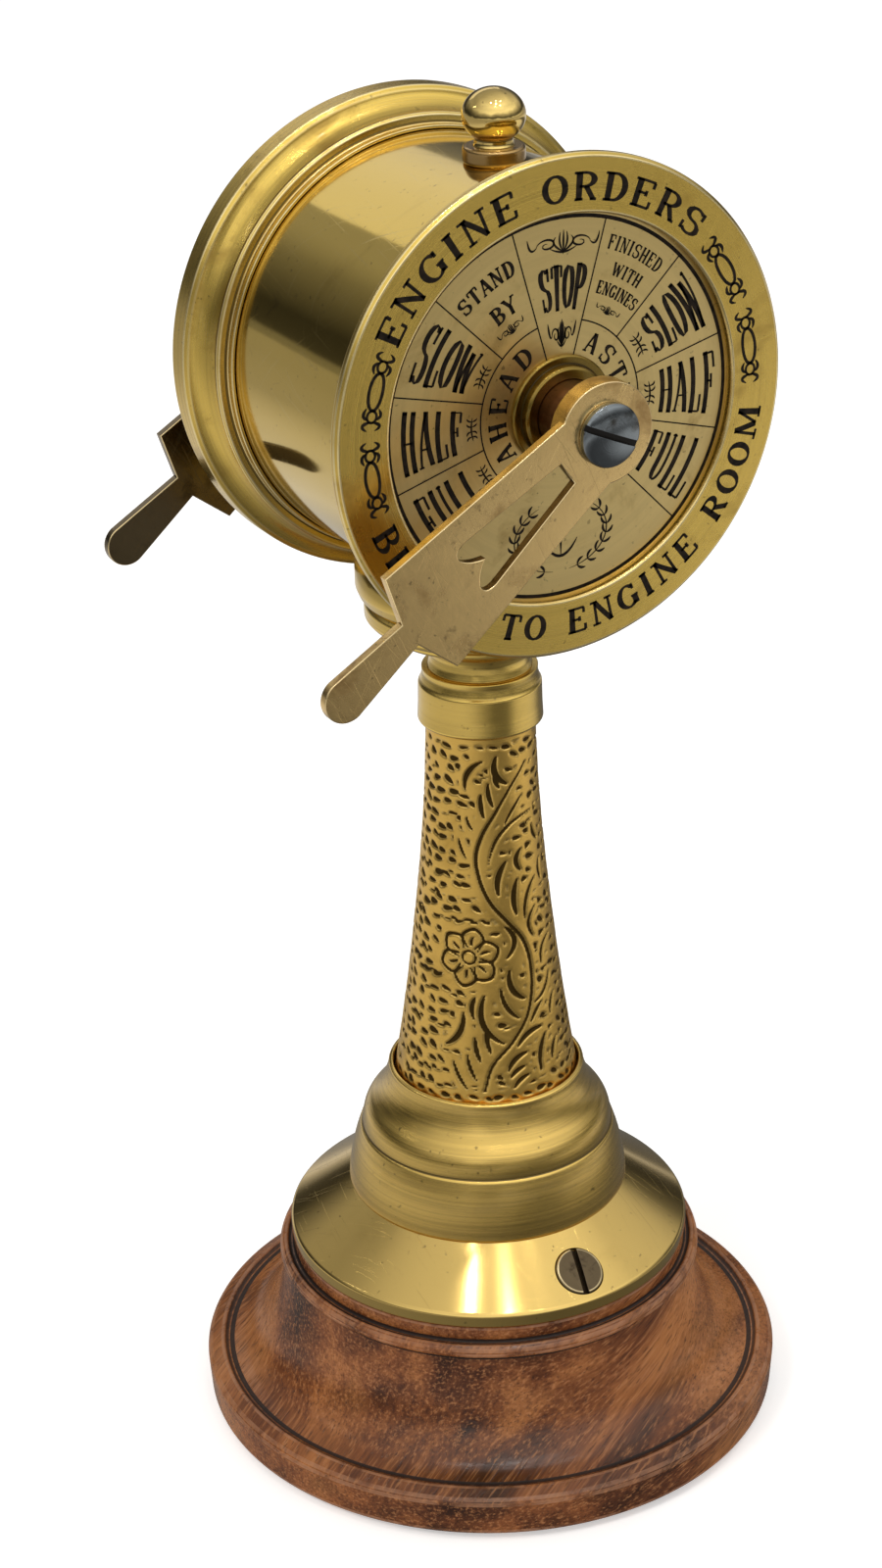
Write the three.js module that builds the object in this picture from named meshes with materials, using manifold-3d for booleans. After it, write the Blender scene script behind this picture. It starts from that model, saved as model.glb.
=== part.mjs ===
// Desk-size ship engine telegraph: a brass drum with a dial on each face, one shaft
// with a pointer lever at each end, on an engraved column and a turned wooden base.
// Millimetres. +Z is up, the front dial faces -Y, and the origin is the middle of
// the underside of the base, where it stands.

import * as THREE from 'three';
import { mergeVertices } from 'three/addons/utils/BufferGeometryUtils.js';
import Module from 'manifold-3d';

const wasm = await Module();
wasm.setup();

// ---- Driving dimensions -------------------------------------------------------

const BASE_RADIUS = 75.8;          // widest turning of the wooden base
const BASE_TOP = 47.6;             // top of the wood, where the brass starts
const FELT_THICKNESS = 1.5;
const FLANGE_RADIUS = 52;
const FLANGE_TOP = 62.7;           // where the cone meets the pedestal ring
const PEDESTAL_FOOT_RADIUS = 36.2;
const COLUMN_SEAT = 93;            // height of the column's lower end
const COLUMN_TOP = 205;
const COLUMN_FOOT_RADIUS = 23.7;
const COLUMN_NECK_RADIUS = 13.6;
const COLLAR_BOTTOM = 192.5;
const COLLAR_TOP = 206.6;
const DRUM_HEIGHT = 282;           // height of the drum's axis and of the lever shaft
const DRUM_RADIUS = 51;
const DRUM_WALL = 1.2;
const RIM_FACE = 40.2;             // from the drum's middle to the front of each rim
const RIM_THICKNESS = 2.4;
const FRONT_RIM_RADIUS = 58.7;
const REAR_RIM_RADIUS = 59.4;
const RIM_OPENING_RADIUS = 45.2;   // edge of the window that shows the dial
const SHAFT_RADIUS = 8;            // journals in the bushes
const LEVER_FACE = 57.5;           // from the drum's middle to each lever's outer face
const LEVER_THICKNESS = 2.5;
const LEVER_HUB_THICKNESS = 5.5;
const LEVER_ANGLE = 215.9;         // stored at FULL AHEAD, counted from 3 o'clock
const ROD_RADIUS = 3;              // tie rod that clamps the whole stack
const FIT_GAP = 0.15;              // clearance between pieces that slip together
const RUNNING_GAP = 0.08;          // radial clearance of a turning fit

const DRUM_INNER_RADIUS = DRUM_RADIUS - DRUM_WALL;
const RIM_BACK = RIM_FACE - RIM_THICKNESS;
const ROD_HOLE_RADIUS = ROD_RADIUS + 0.5;
const SHELL_SEGMENTS = 64;         // shared by the shell and what is cut to fit it
const FULL_TURN = 2 * Math.PI;

// ---- Materials ----------------------------------------------------------------

const finish = (color, roughness, metalness) =>
  () => new THREE.MeshStandardMaterial({ color, roughness, metalness });

const polishedBrass = finish(0xb59a4a, 0.15, 1);
const satinBrass = finish(0xa08a3c, 0.35, 1);
const rimBrass = finish(0xb08f3a, 0.28, 1);
const dialBrass = finish(0xa89058, 0.45, 1);
const bronze = finish(0x8f7440, 0.38, 1);
const darkBronze = finish(0x4a3626, 0.45, 1);
const darkSteel = finish(0x2e3134, 0.3, 1);
const plainSteel = finish(0x85888c, 0.4, 1);
const wood = finish(0x5a2f1c, 0.4, 0);
const felt = finish(0x23412b, 0.95, 0);

// ---- Solids and placing -------------------------------------------------------

const group = new THREE.Group();

function addPart(name, geometry, material) {
  const mesh = new THREE.Mesh(geometry, material());
  mesh.name = name;
  group.add(mesh);
  return mesh;
}

// A closed geometry with shared corners, as a solid that can be cut and joined.
function toSolid(geometry) {
  const bare = geometry.clone();
  bare.deleteAttribute('normal');
  bare.deleteAttribute('uv');
  const merged = mergeVertices(bare, 1e-4);
  const corners = merged.index.array;
  const kept = [];
  for (let i = 0; i < corners.length; i += 3) {
    const [a, b, c] = [corners[i], corners[i + 1], corners[i + 2]];
    if (a !== b && b !== c && c !== a) {
      kept.push(a, b, c);
    }
  }
  return new wasm.Manifold(new wasm.Mesh({
    numProp: 3,
    vertProperties: new Float32Array(merged.attributes.position.array),
    triVerts: new Uint32Array(kept),
  }));
}

function toGeometry(solid) {
  const mesh = solid.getMesh();
  const geometry = new THREE.BufferGeometry();
  geometry.setAttribute('position', new THREE.BufferAttribute(mesh.vertProperties, 3));
  geometry.setIndex(new THREE.BufferAttribute(mesh.triVerts, 1));
  geometry.computeVertexNormals();
  return geometry;
}

function cut(body, ...tools) {
  return toGeometry(tools.reduce((left, tool) => left.subtract(toSolid(tool)), toSolid(body)));
}

function join(body, ...others) {
  return toGeometry(others.reduce((sum, other) => sum.add(toSolid(other)), toSolid(body)));
}

// Turned pieces: the profile is a list of [radius, height] pairs that runs up the
// outside and, on a hollow piece, back down the inside to where it started.
function latheProfile(profile, segments) {
  const points = profile.map(([radius, height]) => new THREE.Vector2(radius, height));
  return new THREE.LatheGeometry(points, segments);
}

function turnedUpright(profile, segments = 28) {
  return latheProfile(profile, segments).rotateX(Math.PI / 2);
}

// Heights in the profile become distances from the drum's middle towards the front.
function turnedAlongDrum(profile, segments = 48) {
  return latheProfile(profile, segments).rotateX(Math.PI).translate(0, 0, DRUM_HEIGHT);
}

// The same piece, made for the back of the drum.
function turnedAlongDrumRear(profile, segments = 48) {
  return latheProfile(profile, segments).translate(0, 0, DRUM_HEIGHT);
}

function ringProfile(innerRadius, outerRadius, bottom, top) {
  return [
    [innerRadius, bottom], [outerRadius, bottom], [outerRadius, top],
    [innerRadius, top], [innerRadius, bottom],
  ];
}

function diskProfile(radius, bottom, top) {
  return [[0, bottom], [radius, bottom], [radius, top], [0, top]];
}

// Points of a smooth curve through a start, a pull point and an end.
function bend(start, pull, end, steps) {
  const curve = new THREE.QuadraticBezierCurve(
    new THREE.Vector2(...start), new THREE.Vector2(...pull), new THREE.Vector2(...end));
  return curve.getPoints(steps).map((point) => [point.x, point.y]);
}

// A flat shape drawn in the plane of the dial, x to the right and y up, from one
// distance in front of the drum's middle to another.
function plate(shape, from, to, curveSegments = 8) {
  return new THREE.ExtrudeGeometry(shape, { depth: to - from, bevelEnabled: false, curveSegments })
    .translate(0, 0, from)
    .rotateX(Math.PI / 2)
    .translate(0, 0, DRUM_HEIGHT);
}

function hexagonShape(acrossFlats) {
  const corner = acrossFlats / Math.sqrt(3);
  const shape = new THREE.Shape();
  for (let i = 0; i < 6; i += 1) {
    const angle = (i / 6) * FULL_TURN;
    const [x, y] = [corner * Math.cos(angle), corner * Math.sin(angle)];
    if (i === 0) {
      shape.moveTo(x, y);
    } else {
      shape.lineTo(x, y);
    }
  }
  shape.closePath();
  return shape;
}

function addRoundHole(shape, x, y, radius) {
  const hole = new THREE.Path();
  hole.absarc(x, y, radius, 0, FULL_TURN, true);
  shape.holes.push(hole);
}

// ---- Wooden base and its felt -------------------------------------------------

function makeFeltPad() {
  const radius = BASE_RADIUS - 5;
  return turnedUpright(diskProfile(radius, 0, FELT_THICKNESS), 40);
}

// One turned block: a plain skirt, a bevelled ledge with a groove inside it, a deep
// cove, and a bead with a second groove under the brass. The middle is bored for the
// tie rod and counterbored from below for its nut.
function makeWoodenBase() {
  const counterboreRadius = 12;
  const counterboreTop = 11;
  const coveFoot = [67, 13.8];
  const coveHead = [53.3, 40.2];
  const profile = [
    [ROD_HOLE_RADIUS, counterboreTop],
    [counterboreRadius, counterboreTop],
    [counterboreRadius, FELT_THICKNESS],
    [BASE_RADIUS - 1.8, FELT_THICKNESS],
    [BASE_RADIUS - 0.6, FELT_THICKNESS + 1.2],
    [BASE_RADIUS, 11.6],
    [BASE_RADIUS - 0.6, 12.6],
    [BASE_RADIUS - 4.2, 14.2],
    [BASE_RADIUS - 5, 13.4],
    [coveFoot[0] + 2.4, 13],
    ...bend(coveFoot, [56.6, 17.2], coveHead, 6),
    [54.6, 40.6],
    [55.4, 41.6],
    [55, 43],
    [53.6, 44],
    [52.7, 43.2],
    [51.6, 43.4],
    [51.4, BASE_TOP],
    [ROD_HOLE_RADIUS, BASE_TOP],
    [ROD_HOLE_RADIUS, counterboreTop],
  ];
  return turnedUpright(profile, 40);
}

// ---- Brass flange and its two screws ------------------------------------------

const SCREW_TILT = Math.atan2(FLANGE_TOP - 51.3, FLANGE_RADIUS - PEDESTAL_FOOT_RADIUS);
const SCREW_HEAD_RADIUS = 6.2;
const SCREW_CIRCLE_RADIUS = 45.4;

// Cone height above the base at a distance from the middle.
function coneHeight(radius) {
  return 51.3 + (FLANGE_RADIUS - radius) * Math.tan(SCREW_TILT);
}

// Turns a piece made along +Z, with its face at zero, to stand square on the cone.
function placeOnCone(geometry, side) {
  const tiltOut = side * SCREW_TILT;
  return geometry
    .rotateX(tiltOut)
    .translate(0, -side * SCREW_CIRCLE_RADIUS, coneHeight(SCREW_CIRCLE_RADIUS));
}

function makeFlange() {
  const wall = 3;
  const profile = [
    [47.5, BASE_TOP],
    [FLANGE_RADIUS - 0.4, BASE_TOP],
    [FLANGE_RADIUS, BASE_TOP + 0.5],
    [FLANGE_RADIUS, 50.9],
    [FLANGE_RADIUS - 0.5, 51.6],
    [PEDESTAL_FOOT_RADIUS - 0.6, FLANGE_TOP],
    [ROD_HOLE_RADIUS, FLANGE_TOP],
    [ROD_HOLE_RADIUS, FLANGE_TOP - wall],
    [PEDESTAL_FOOT_RADIUS - 1.6, FLANGE_TOP - wall],
    [47.5, 51.2],
    [47.5, BASE_TOP],
  ];
  const seats = [1, -1].map((side) => {
    const seat = turnedUpright([
      [0, -12], [3.2, -12], [3.2, -3.4], [SCREW_HEAD_RADIUS + FIT_GAP, -1.2],
      [SCREW_HEAD_RADIUS + FIT_GAP, 3], [0, 3],
    ], 20);
    return placeOnCone(seat, side);
  });
  return cut(turnedUpright(profile, 40), ...seats);
}

// Clearance holes in the wood for the two slanting screws.
function boreForFlangeScrews(base) {
  const bores = [1, -1].map((side) => {
    const bore = turnedUpright(diskProfile(2.4, -22, -3), 16);
    return placeOnCone(bore, side);
  });
  return cut(base, ...bores);
}

// Countersunk screw with a slot, its flat face level with the cone.
function makeFlangeScrew(side) {
  const slotWidth = 1.5;
  const slotDepth = 1.3;
  const slotAngle = 0.35;
  const body = turnedUpright([
    [0, -20], [1.9, -17.5], [2, -4.2], [2.6, -3.6], [SCREW_HEAD_RADIUS - 0.2, -1.3],
    [SCREW_HEAD_RADIUS, -0.9], [SCREW_HEAD_RADIUS, -0.1], [SCREW_HEAD_RADIUS - 0.3, 0.15], [0, 0.3],
  ], 20);
  const slot = new THREE.BoxGeometry(slotWidth, 4 * SCREW_HEAD_RADIUS, 2 * slotDepth)
    .rotateZ(slotAngle);
  return placeOnCone(cut(body, slot), side);
}

// ---- Pedestal ring and column -------------------------------------------------

function makePedestalRing() {
  const seatRadius = COLUMN_FOOT_RADIUS + FIT_GAP;
  const profile = [
    [28, FLANGE_TOP],
    [PEDESTAL_FOOT_RADIUS - 0.3, FLANGE_TOP],
    ...bend([PEDESTAL_FOOT_RADIUS, FLANGE_TOP + 0.4], [35.6, 71], [32.9, 78.2], 3),
    [32.3, 78.8],
    ...bend([32.3, 79.4], [32.1, 83.6], [29.4, 86.2], 3),
    ...bend([28.6, 87.2], [26.2, 90.4], [25.3, 94.6], 3),
    [25.1, 96],
    [seatRadius + 0.4, 96.5],
    [seatRadius, 96.2],
    [seatRadius, COLUMN_SEAT],
    [18, COLUMN_SEAT],
    [18, 84],
    [28, 74],
    [28, FLANGE_TOP],
  ];
  return turnedUpright(profile, 40);
}

// The column swells downwards: its radius follows a power of the height that is left.
function columnRadius(height) {
  const left = 1 - (height - COLUMN_SEAT) / (COLLAR_BOTTOM - COLUMN_SEAT);
  const swell = COLUMN_FOOT_RADIUS - COLUMN_NECK_RADIUS;
  return COLUMN_NECK_RADIUS + swell * Math.max(left, 0) ** 1.6;
}

function makeColumn() {
  const wall = 2.2;
  const steps = 8;
  const outer = [];
  const inner = [];
  for (let i = 0; i <= steps; i += 1) {
    const height = COLUMN_SEAT + (i / steps) * (COLLAR_BOTTOM - COLUMN_SEAT);
    outer.push([columnRadius(height), height]);
    inner.push([columnRadius(height) - wall, height]);
  }
  const profile = [
    ...outer,
    [COLUMN_NECK_RADIUS, COLUMN_TOP],
    [COLUMN_NECK_RADIUS - wall, COLUMN_TOP],
    ...inner.reverse(),
    outer[0],
  ];
  return turnedUpright(profile);
}

function makeColumnCollar() {
  const bore = COLUMN_NECK_RADIUS + FIT_GAP;
  return turnedUpright([
    [bore, COLLAR_BOTTOM],
    [15, COLLAR_BOTTOM],
    [15.5, COLLAR_BOTTOM + 0.6],
    [15.3, 197],
    [15.2, 202.4],
    [14.7, 203.2],
    [14.2, 205],
    [14.3, COLLAR_TOP],
    [ROD_HOLE_RADIUS, COLLAR_TOP],
    [ROD_HOLE_RADIUS, COLUMN_TOP],
    [bore, COLUMN_TOP],
    [bore, COLLAR_BOTTOM],
  ]);
}

// ---- Stack between the collar and the drum ------------------------------------

const STEM_TOP = 216.8;
const LOWER_RING_TOP = 219.6;
const MIDDLE_RING_TOP = 225;

function makeSaddleStem() {
  return turnedUpright([
    [ROD_HOLE_RADIUS, COLLAR_TOP],
    [13, COLLAR_TOP],
    [12.4, 208.4],
    ...bend([12.2, 210], [12.6, 214.4], [19, STEM_TOP], 3),
    [ROD_HOLE_RADIUS, STEM_TOP],
    [ROD_HOLE_RADIUS, COLLAR_TOP],
  ]);
}

// A disc with a rounded rim, bored for the tie rod.
function makeRoundedRing(radius, bottom, top) {
  const middle = (bottom + top) / 2;
  const bulge = (top - bottom) / 2;
  const rim = [];
  const steps = 4;
  for (let i = 0; i <= steps; i += 1) {
    const angle = -Math.PI / 2 + (i / steps) * Math.PI;
    rim.push([radius - bulge * 0.8 * (1 - Math.cos(angle)), middle + bulge * Math.sin(angle)]);
  }
  return turnedUpright([
    [ROD_HOLE_RADIUS, bottom], ...rim, [ROD_HOLE_RADIUS, top], [ROD_HOLE_RADIUS, bottom],
  ], 32);
}

// The top of the stack is hollowed across to sit against the underside of the drum,
// and relieved at the back to clear the bead of the rear rim.
function makeDrumSaddle() {
  const radius = 29.8;
  const block = turnedUpright([
    [ROD_HOLE_RADIUS, MIDDLE_RING_TOP],
    [radius - 3, MIDDLE_RING_TOP],
    [radius - 1, MIDDLE_RING_TOP + 1.2],
    [radius, MIDDLE_RING_TOP + 3.6],
    [radius, 246],
    [ROD_HOLE_RADIUS, 246],
    [ROD_HOLE_RADIUS, MIDDLE_RING_TOP],
  ], 32);
  const drumTool = turnedAlongDrum(diskProfile(DRUM_RADIUS + 0.02, -45, 45), SHELL_SEGMENTS);
  const rimTool = turnedAlongDrumRear(diskProfile(55.2, 22.7, 45));
  return cut(block, drumTool, rimTool);
}

// ---- Tie rod, washers and nuts ------------------------------------------------

const LOWER_WASHER_TOP = 11;
const WASHER_THICKNESS = 1.5;
const NUT_HEIGHT = 5;
const DRUM_FLOOR = DRUM_HEIGHT - DRUM_INNER_RADIUS;
const UPPER_WASHER_TOP = DRUM_FLOOR + 2.8;
const BRACKET_THICKNESS = 1.5;

function makeTieRod() {
  return turnedUpright([
    [0, 3.6], [ROD_RADIUS - 0.5, 3.6], [ROD_RADIUS, 4.1],
    [ROD_RADIUS, 242.4], [ROD_RADIUS - 0.5, 242.9], [0, 242.9],
  ], 20);
}

function makeNut(bottom) {
  const shape = hexagonShape(10);
  addRoundHole(shape, 0, 0, ROD_RADIUS + FIT_GAP);
  return new THREE.ExtrudeGeometry(shape, { depth: NUT_HEIGHT, bevelEnabled: false, curveSegments: 10 })
    .translate(0, 0, bottom);
}

function makeLowerWasher() {
  const bottom = LOWER_WASHER_TOP - WASHER_THICKNESS;
  return turnedUpright(ringProfile(ROD_HOLE_RADIUS, 9, bottom, LOWER_WASHER_TOP), 20);
}

// Round underneath to bed into the curve of the shell.
function makeUpperWasher() {
  const blank = turnedUpright(ringProfile(ROD_HOLE_RADIUS, 8, DRUM_FLOOR - 2, UPPER_WASHER_TOP), 20);
  const outside = turnedAlongDrum(
    ringProfile(DRUM_INNER_RADIUS - 0.1, DRUM_RADIUS + 5, -20, 20), SHELL_SEGMENTS);
  return cut(blank, outside);
}

// ---- Drum ---------------------------------------------------------------------

const FINIAL_OFFSET = -10;         // the finial stands a little towards the front dial
const FINIAL_STUD_RADIUS = 2;

function makeDrumShell() {
  const length = RIM_BACK - 0.2;
  const shell = turnedAlongDrum(
    ringProfile(DRUM_INNER_RADIUS, DRUM_RADIUS, -length, length), SHELL_SEGMENTS);
  const rodHole = turnedUpright(diskProfile(ROD_HOLE_RADIUS, 225, 240), 20);
  const studHole = turnedUpright(diskProfile(FINIAL_STUD_RADIUS + 0.3, 325, 340), 16)
    .translate(0, FINIAL_OFFSET, 0);
  return cut(shell, rodHole, studHole);
}

// Flat ring in front, and a short collar behind it that slips over the shell.
function makeFrontBezel() {
  const collarBore = DRUM_RADIUS + FIT_GAP;
  return turnedAlongDrum([
    [collarBore, 34.4],
    [52.4, 34.4],
    [52.8, 35],
    [53.6, RIM_BACK - 0.6],
    [55, RIM_BACK],
    [FRONT_RIM_RADIUS - 0.3, RIM_BACK],
    [FRONT_RIM_RADIUS, RIM_BACK + 0.3],
    [FRONT_RIM_RADIUS, RIM_FACE - 0.9],
    [FRONT_RIM_RADIUS - 0.8, RIM_FACE],
    [RIM_OPENING_RADIUS + 0.4, RIM_FACE],
    [RIM_OPENING_RADIUS, RIM_FACE - 0.4],
    [RIM_OPENING_RADIUS, RIM_BACK],
    [collarBore, RIM_BACK],
    [collarBore, 34.4],
  ]);
}

// Deeper spun rim: a broad flat band, a cove down towards the shell, a raised bead
// and a groove.
function makeRearBezel() {
  const collarBore = DRUM_RADIUS + FIT_GAP;
  return turnedAlongDrumRear([
    [collarBore, 24.8],
    [52.2, 24.8],
    [52.3, 25.6],
    [53.9, 25.8],
    [54.5, 26.4],
    [54.2, 27.1],
    ...bend([53.9, 27.6], [54.8, 32.2], [58.4, 33], 4),
    [REAR_RIM_RADIUS, 33.8],
    [REAR_RIM_RADIUS, RIM_FACE - 0.9],
    [REAR_RIM_RADIUS - 0.8, RIM_FACE],
    [RIM_OPENING_RADIUS + 0.4, RIM_FACE],
    [RIM_OPENING_RADIUS, RIM_FACE - 0.4],
    [RIM_OPENING_RADIUS, RIM_BACK],
    [collarBore, RIM_BACK],
    [collarBore, 24.8],
  ]);
}

function makeRearSeamRing() {
  const bore = DRUM_RADIUS + FIT_GAP;
  return turnedAlongDrumRear([
    [bore, 23], [51.8, 23], [52, 23.8], [51.8, 24.6], [bore, 24.6], [bore, 23],
  ]);
}

const DIAL_THICKNESS = 1.2;
const DIAL_BACK = RIM_BACK - DIAL_THICKNESS;
const BUSH_FLANGE_RADIUS = 13;

// The dial's hole takes the bush, whose flange lies on its face.
function dialProfile() {
  return ringProfile(10, DRUM_INNER_RADIUS - FIT_GAP, DIAL_BACK, RIM_BACK);
}

function bushProfile() {
  const bore = SHAFT_RADIUS + RUNNING_GAP;
  return [
    [bore, DIAL_BACK - 5],
    [9.8, DIAL_BACK - 5],
    [9.8, RIM_BACK],
    [BUSH_FLANGE_RADIUS, RIM_BACK],
    [BUSH_FLANGE_RADIUS, RIM_BACK + 0.9],
    [BUSH_FLANGE_RADIUS - 0.4, RIM_BACK + 1.3],
    [11, RIM_BACK + 1.3],
    [10.8, RIM_BACK + 3],
    [10.2, RIM_BACK + 3.5],
    [bore, RIM_BACK + 3.5],
    [bore, DIAL_BACK - 5],
  ];
}

// ---- Shaft, levers and their screws -------------------------------------------

const HUB_BACK = LEVER_FACE - LEVER_HUB_THICKNESS;
const SQUARE_SIZE = 8.6;
const LEVER_SCREW_SHANK_RADIUS = 2.5;
const LEVER_SCREW_SHANK_LENGTH = 14;

// Turns a piece made with the levers hanging straight down to where they are stored.
function swingToRest(geometry) {
  const swing = THREE.MathUtils.degToRad(LEVER_ANGLE - 270);
  return geometry
    .translate(0, 0, -DRUM_HEIGHT)
    .rotateY(-swing)
    .translate(0, 0, DRUM_HEIGHT);
}

// Turned bar, slim in the middle, with a square at each end that turns the levers
// and a tapped hole in the end of each square.
function makeLeverShaft() {
  const slimRadius = 5;
  const bar = turnedAlongDrum([
    [0, -HUB_BACK], [SHAFT_RADIUS, -HUB_BACK], [SHAFT_RADIUS, -29], [slimRadius, -29],
    [slimRadius, 29], [SHAFT_RADIUS, 29], [SHAFT_RADIUS, HUB_BACK], [0, HUB_BACK],
  ], 24);
  const squareShape = new THREE.Shape();
  const half = SQUARE_SIZE / 2;
  squareShape.moveTo(-half, -half).lineTo(half, -half).lineTo(half, half).lineTo(-half, half);
  const squareEnd = LEVER_FACE - 0.4;
  const squareFront = plate(squareShape, HUB_BACK - 1, squareEnd);
  const squareBack = plate(squareShape, -squareEnd, 1 - HUB_BACK);
  const holeDepth = LEVER_SCREW_SHANK_LENGTH + 1;
  const holeRadius = LEVER_SCREW_SHANK_RADIUS + 0.1;
  const tapped = [
    turnedAlongDrum(diskProfile(holeRadius, LEVER_FACE - holeDepth, LEVER_FACE + 1), 20),
    turnedAlongDrum(diskProfile(holeRadius, -LEVER_FACE - 1, holeDepth - LEVER_FACE), 20),
  ];
  return swingToRest(cut(join(bar, squareFront, squareBack), ...tapped));
}

// Flat pointer seen face on, drawn hanging straight down: two arms run from the hub
// to a broad paddle around a window with a double-lobed end, and a round-ended
// handle goes on below.
function leverShape(hubRadius) {
  const armHalfAtHub = 10;
  const paddleEnd = 59;
  const paddleHalf = 15;
  const neckStart = 62.6;
  const neckHalf = 3.4;
  const handleHalf = 5.3;
  const handleEnd = 82.7;
  const joinAngle = Math.asin(armHalfAtHub / hubRadius);
  const shape = new THREE.Shape();
  shape.absarc(0, 0, hubRadius, -Math.PI / 2 + joinAngle, -Math.PI / 2 - joinAngle + FULL_TURN, false);
  shape.lineTo(-paddleHalf, -paddleEnd);
  shape.lineTo(-neckHalf, -neckStart);
  shape.lineTo(-handleHalf, -handleEnd);
  shape.absarc(0, -handleEnd, handleHalf, Math.PI, FULL_TURN, false);
  shape.lineTo(neckHalf, -neckStart);
  shape.lineTo(paddleHalf, -paddleEnd);
  shape.closePath();
  shape.holes.push(leverWindow());
  return shape;
}

function leverWindow() {
  const top = 12.6;
  const topHalf = 3.1;
  const lobeSide = 6.8;
  const lobeStart = 40.6;
  const lobeTip = 44;
  const cuspDepth = 38.8;
  const window = new THREE.Path();
  window.moveTo(-topHalf, -top);
  window.lineTo(topHalf, -top);
  window.lineTo(lobeSide, -lobeStart);
  window.quadraticCurveTo(lobeSide, -lobeTip, 4.4, -lobeTip + 0.4);
  window.quadraticCurveTo(1.9, -lobeTip + 1.4, 0, -cuspDepth);
  window.quadraticCurveTo(-1.9, -lobeTip + 1.4, -4.4, -lobeTip + 0.4);
  window.quadraticCurveTo(-lobeSide, -lobeTip, -lobeSide, -lobeStart);
  window.closePath();
  return window;
}

// side is 1 for the front lever and -1 for the one behind.
function makeLever(side) {
  const hubRadius = 11.9;
  const arm = side > 0
    ? plate(leverShape(hubRadius), LEVER_FACE - LEVER_THICKNESS, LEVER_FACE)
    : plate(leverShape(hubRadius), -LEVER_FACE, LEVER_THICKNESS - LEVER_FACE);
  const hub = side > 0
    ? turnedAlongDrum(diskProfile(hubRadius, HUB_BACK, LEVER_FACE), 36)
    : turnedAlongDrum(diskProfile(hubRadius, -LEVER_FACE, -HUB_BACK), 36);
  const half = SQUARE_SIZE / 2 + FIT_GAP;
  const squareHole = new THREE.BoxGeometry(2 * half, 4 * LEVER_HUB_THICKNESS, 2 * half)
    .translate(0, -side * LEVER_FACE, DRUM_HEIGHT);
  return swingToRest(cut(join(arm, hub), squareHole));
}

// Cheese-head screw with a domed, slotted top.
function makeLeverScrew(side) {
  const headRadius = 7.4;
  const headEdge = 1.5;
  const domeHeight = 3.4;
  const dome = [];
  const steps = 4;
  for (let i = 0; i <= steps; i += 1) {
    const angle = (i / steps) * (Math.PI / 2);
    dome.push([headRadius * Math.cos(angle), headEdge + (domeHeight - headEdge) * Math.sin(angle)]);
  }
  const profile = [
    [0, -LEVER_SCREW_SHANK_LENGTH],
    [LEVER_SCREW_SHANK_RADIUS, -LEVER_SCREW_SHANK_LENGTH],
    [LEVER_SCREW_SHANK_RADIUS, 0],
    [headRadius - 0.3, 0],
    [headRadius, 0.3],
    ...dome.slice(0, -1),
    [0, domeHeight],
  ];
  const slot = new THREE.BoxGeometry(4 * headRadius, 1.7, 3.2)
    .translate(0, 0, domeHeight)
    .rotateZ(-0.1);
  const screw = cut(turnedUpright(profile, 24), slot);
  return screw
    .rotateX(side * Math.PI / 2)
    .translate(0, -side * LEVER_FACE, DRUM_HEIGHT);
}

// ---- Index wheel and bell inside the drum -------------------------------------

const WHEEL_TIP_RADIUS = 15;

// Twelve rounded teeth, one for each thirty degrees of lever travel.
function makeStarWheel() {
  const teeth = 12;
  const rootRadius = 11.5;
  const shape = new THREE.Shape();
  const at = (radius, angle) => [radius * Math.cos(angle), radius * Math.sin(angle)];
  shape.moveTo(...at(WHEEL_TIP_RADIUS, 0));
  for (let i = 0; i < teeth; i += 1) {
    const middle = ((i + 0.5) / teeth) * FULL_TURN;
    const next = ((i + 1) / teeth) * FULL_TURN;
    shape.quadraticCurveTo(...at(rootRadius, middle), ...at(WHEEL_TIP_RADIUS, next));
  }
  const hub = turnedAlongDrum(diskProfile(8.5, -2, 8), 24);
  const bore = turnedAlongDrum(diskProfile(5.1, -5, 10), 24);
  const grubHole = new THREE.CylinderGeometry(1.65, 1.65, 6, 12)
    .rotateX(Math.PI / 2)
    .translate(0, -5, DRUM_HEIGHT + 8);
  return cut(join(plate(shape, -2, 2, 3), hub), bore, grubHole);
}

function makeStarWheelScrew() {
  return new THREE.CylinderGeometry(1.5, 1.5, 3, 12)
    .rotateX(Math.PI / 2)
    .translate(0, -5, DRUM_HEIGHT + 5.2 + 1.5);
}

const PIVOT_X = 20;
const PIVOT_Z = 262;
const BRACKET_FRONT = 11.5;        // how far behind the drum's middle its upright is

// Sheet-brass bracket, held down by the tie rod's upper nut, that carries the
// hammer's pivot pin.
function makeBracket() {
  const top = UPPER_WASHER_TOP + BRACKET_THICKNESS;
  const back = BRACKET_FRONT + BRACKET_THICKNESS;
  const foot = new THREE.BoxGeometry(20, back + 7, BRACKET_THICKNESS)
    .translate(2, (back - 7) / 2, (UPPER_WASHER_TOP + top) / 2);
  const footHole = turnedUpright(diskProfile(ROD_HOLE_RADIUS, 230, 240), 20);
  const eyeX = PIVOT_X;
  const eyeY = PIVOT_Z - DRUM_HEIGHT;
  const low = UPPER_WASHER_TOP - DRUM_HEIGHT;
  const shape = new THREE.Shape();
  shape.moveTo(-8, low);
  shape.lineTo(12, low);
  shape.lineTo(eyeX + 3.6, eyeY - 1);
  shape.absarc(eyeX, eyeY, 4, -0.3, 2.4, false);
  shape.lineTo(-8, low + 6);
  shape.closePath();
  addRoundHole(shape, eyeX, eyeY, 1.35);
  return cut(join(foot, plate(shape, -back, -BRACKET_FRONT)), footHole);
}

function atPivot(geometry) {
  return geometry.translate(PIVOT_X, 0, PIVOT_Z - DRUM_HEIGHT);
}

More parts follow.
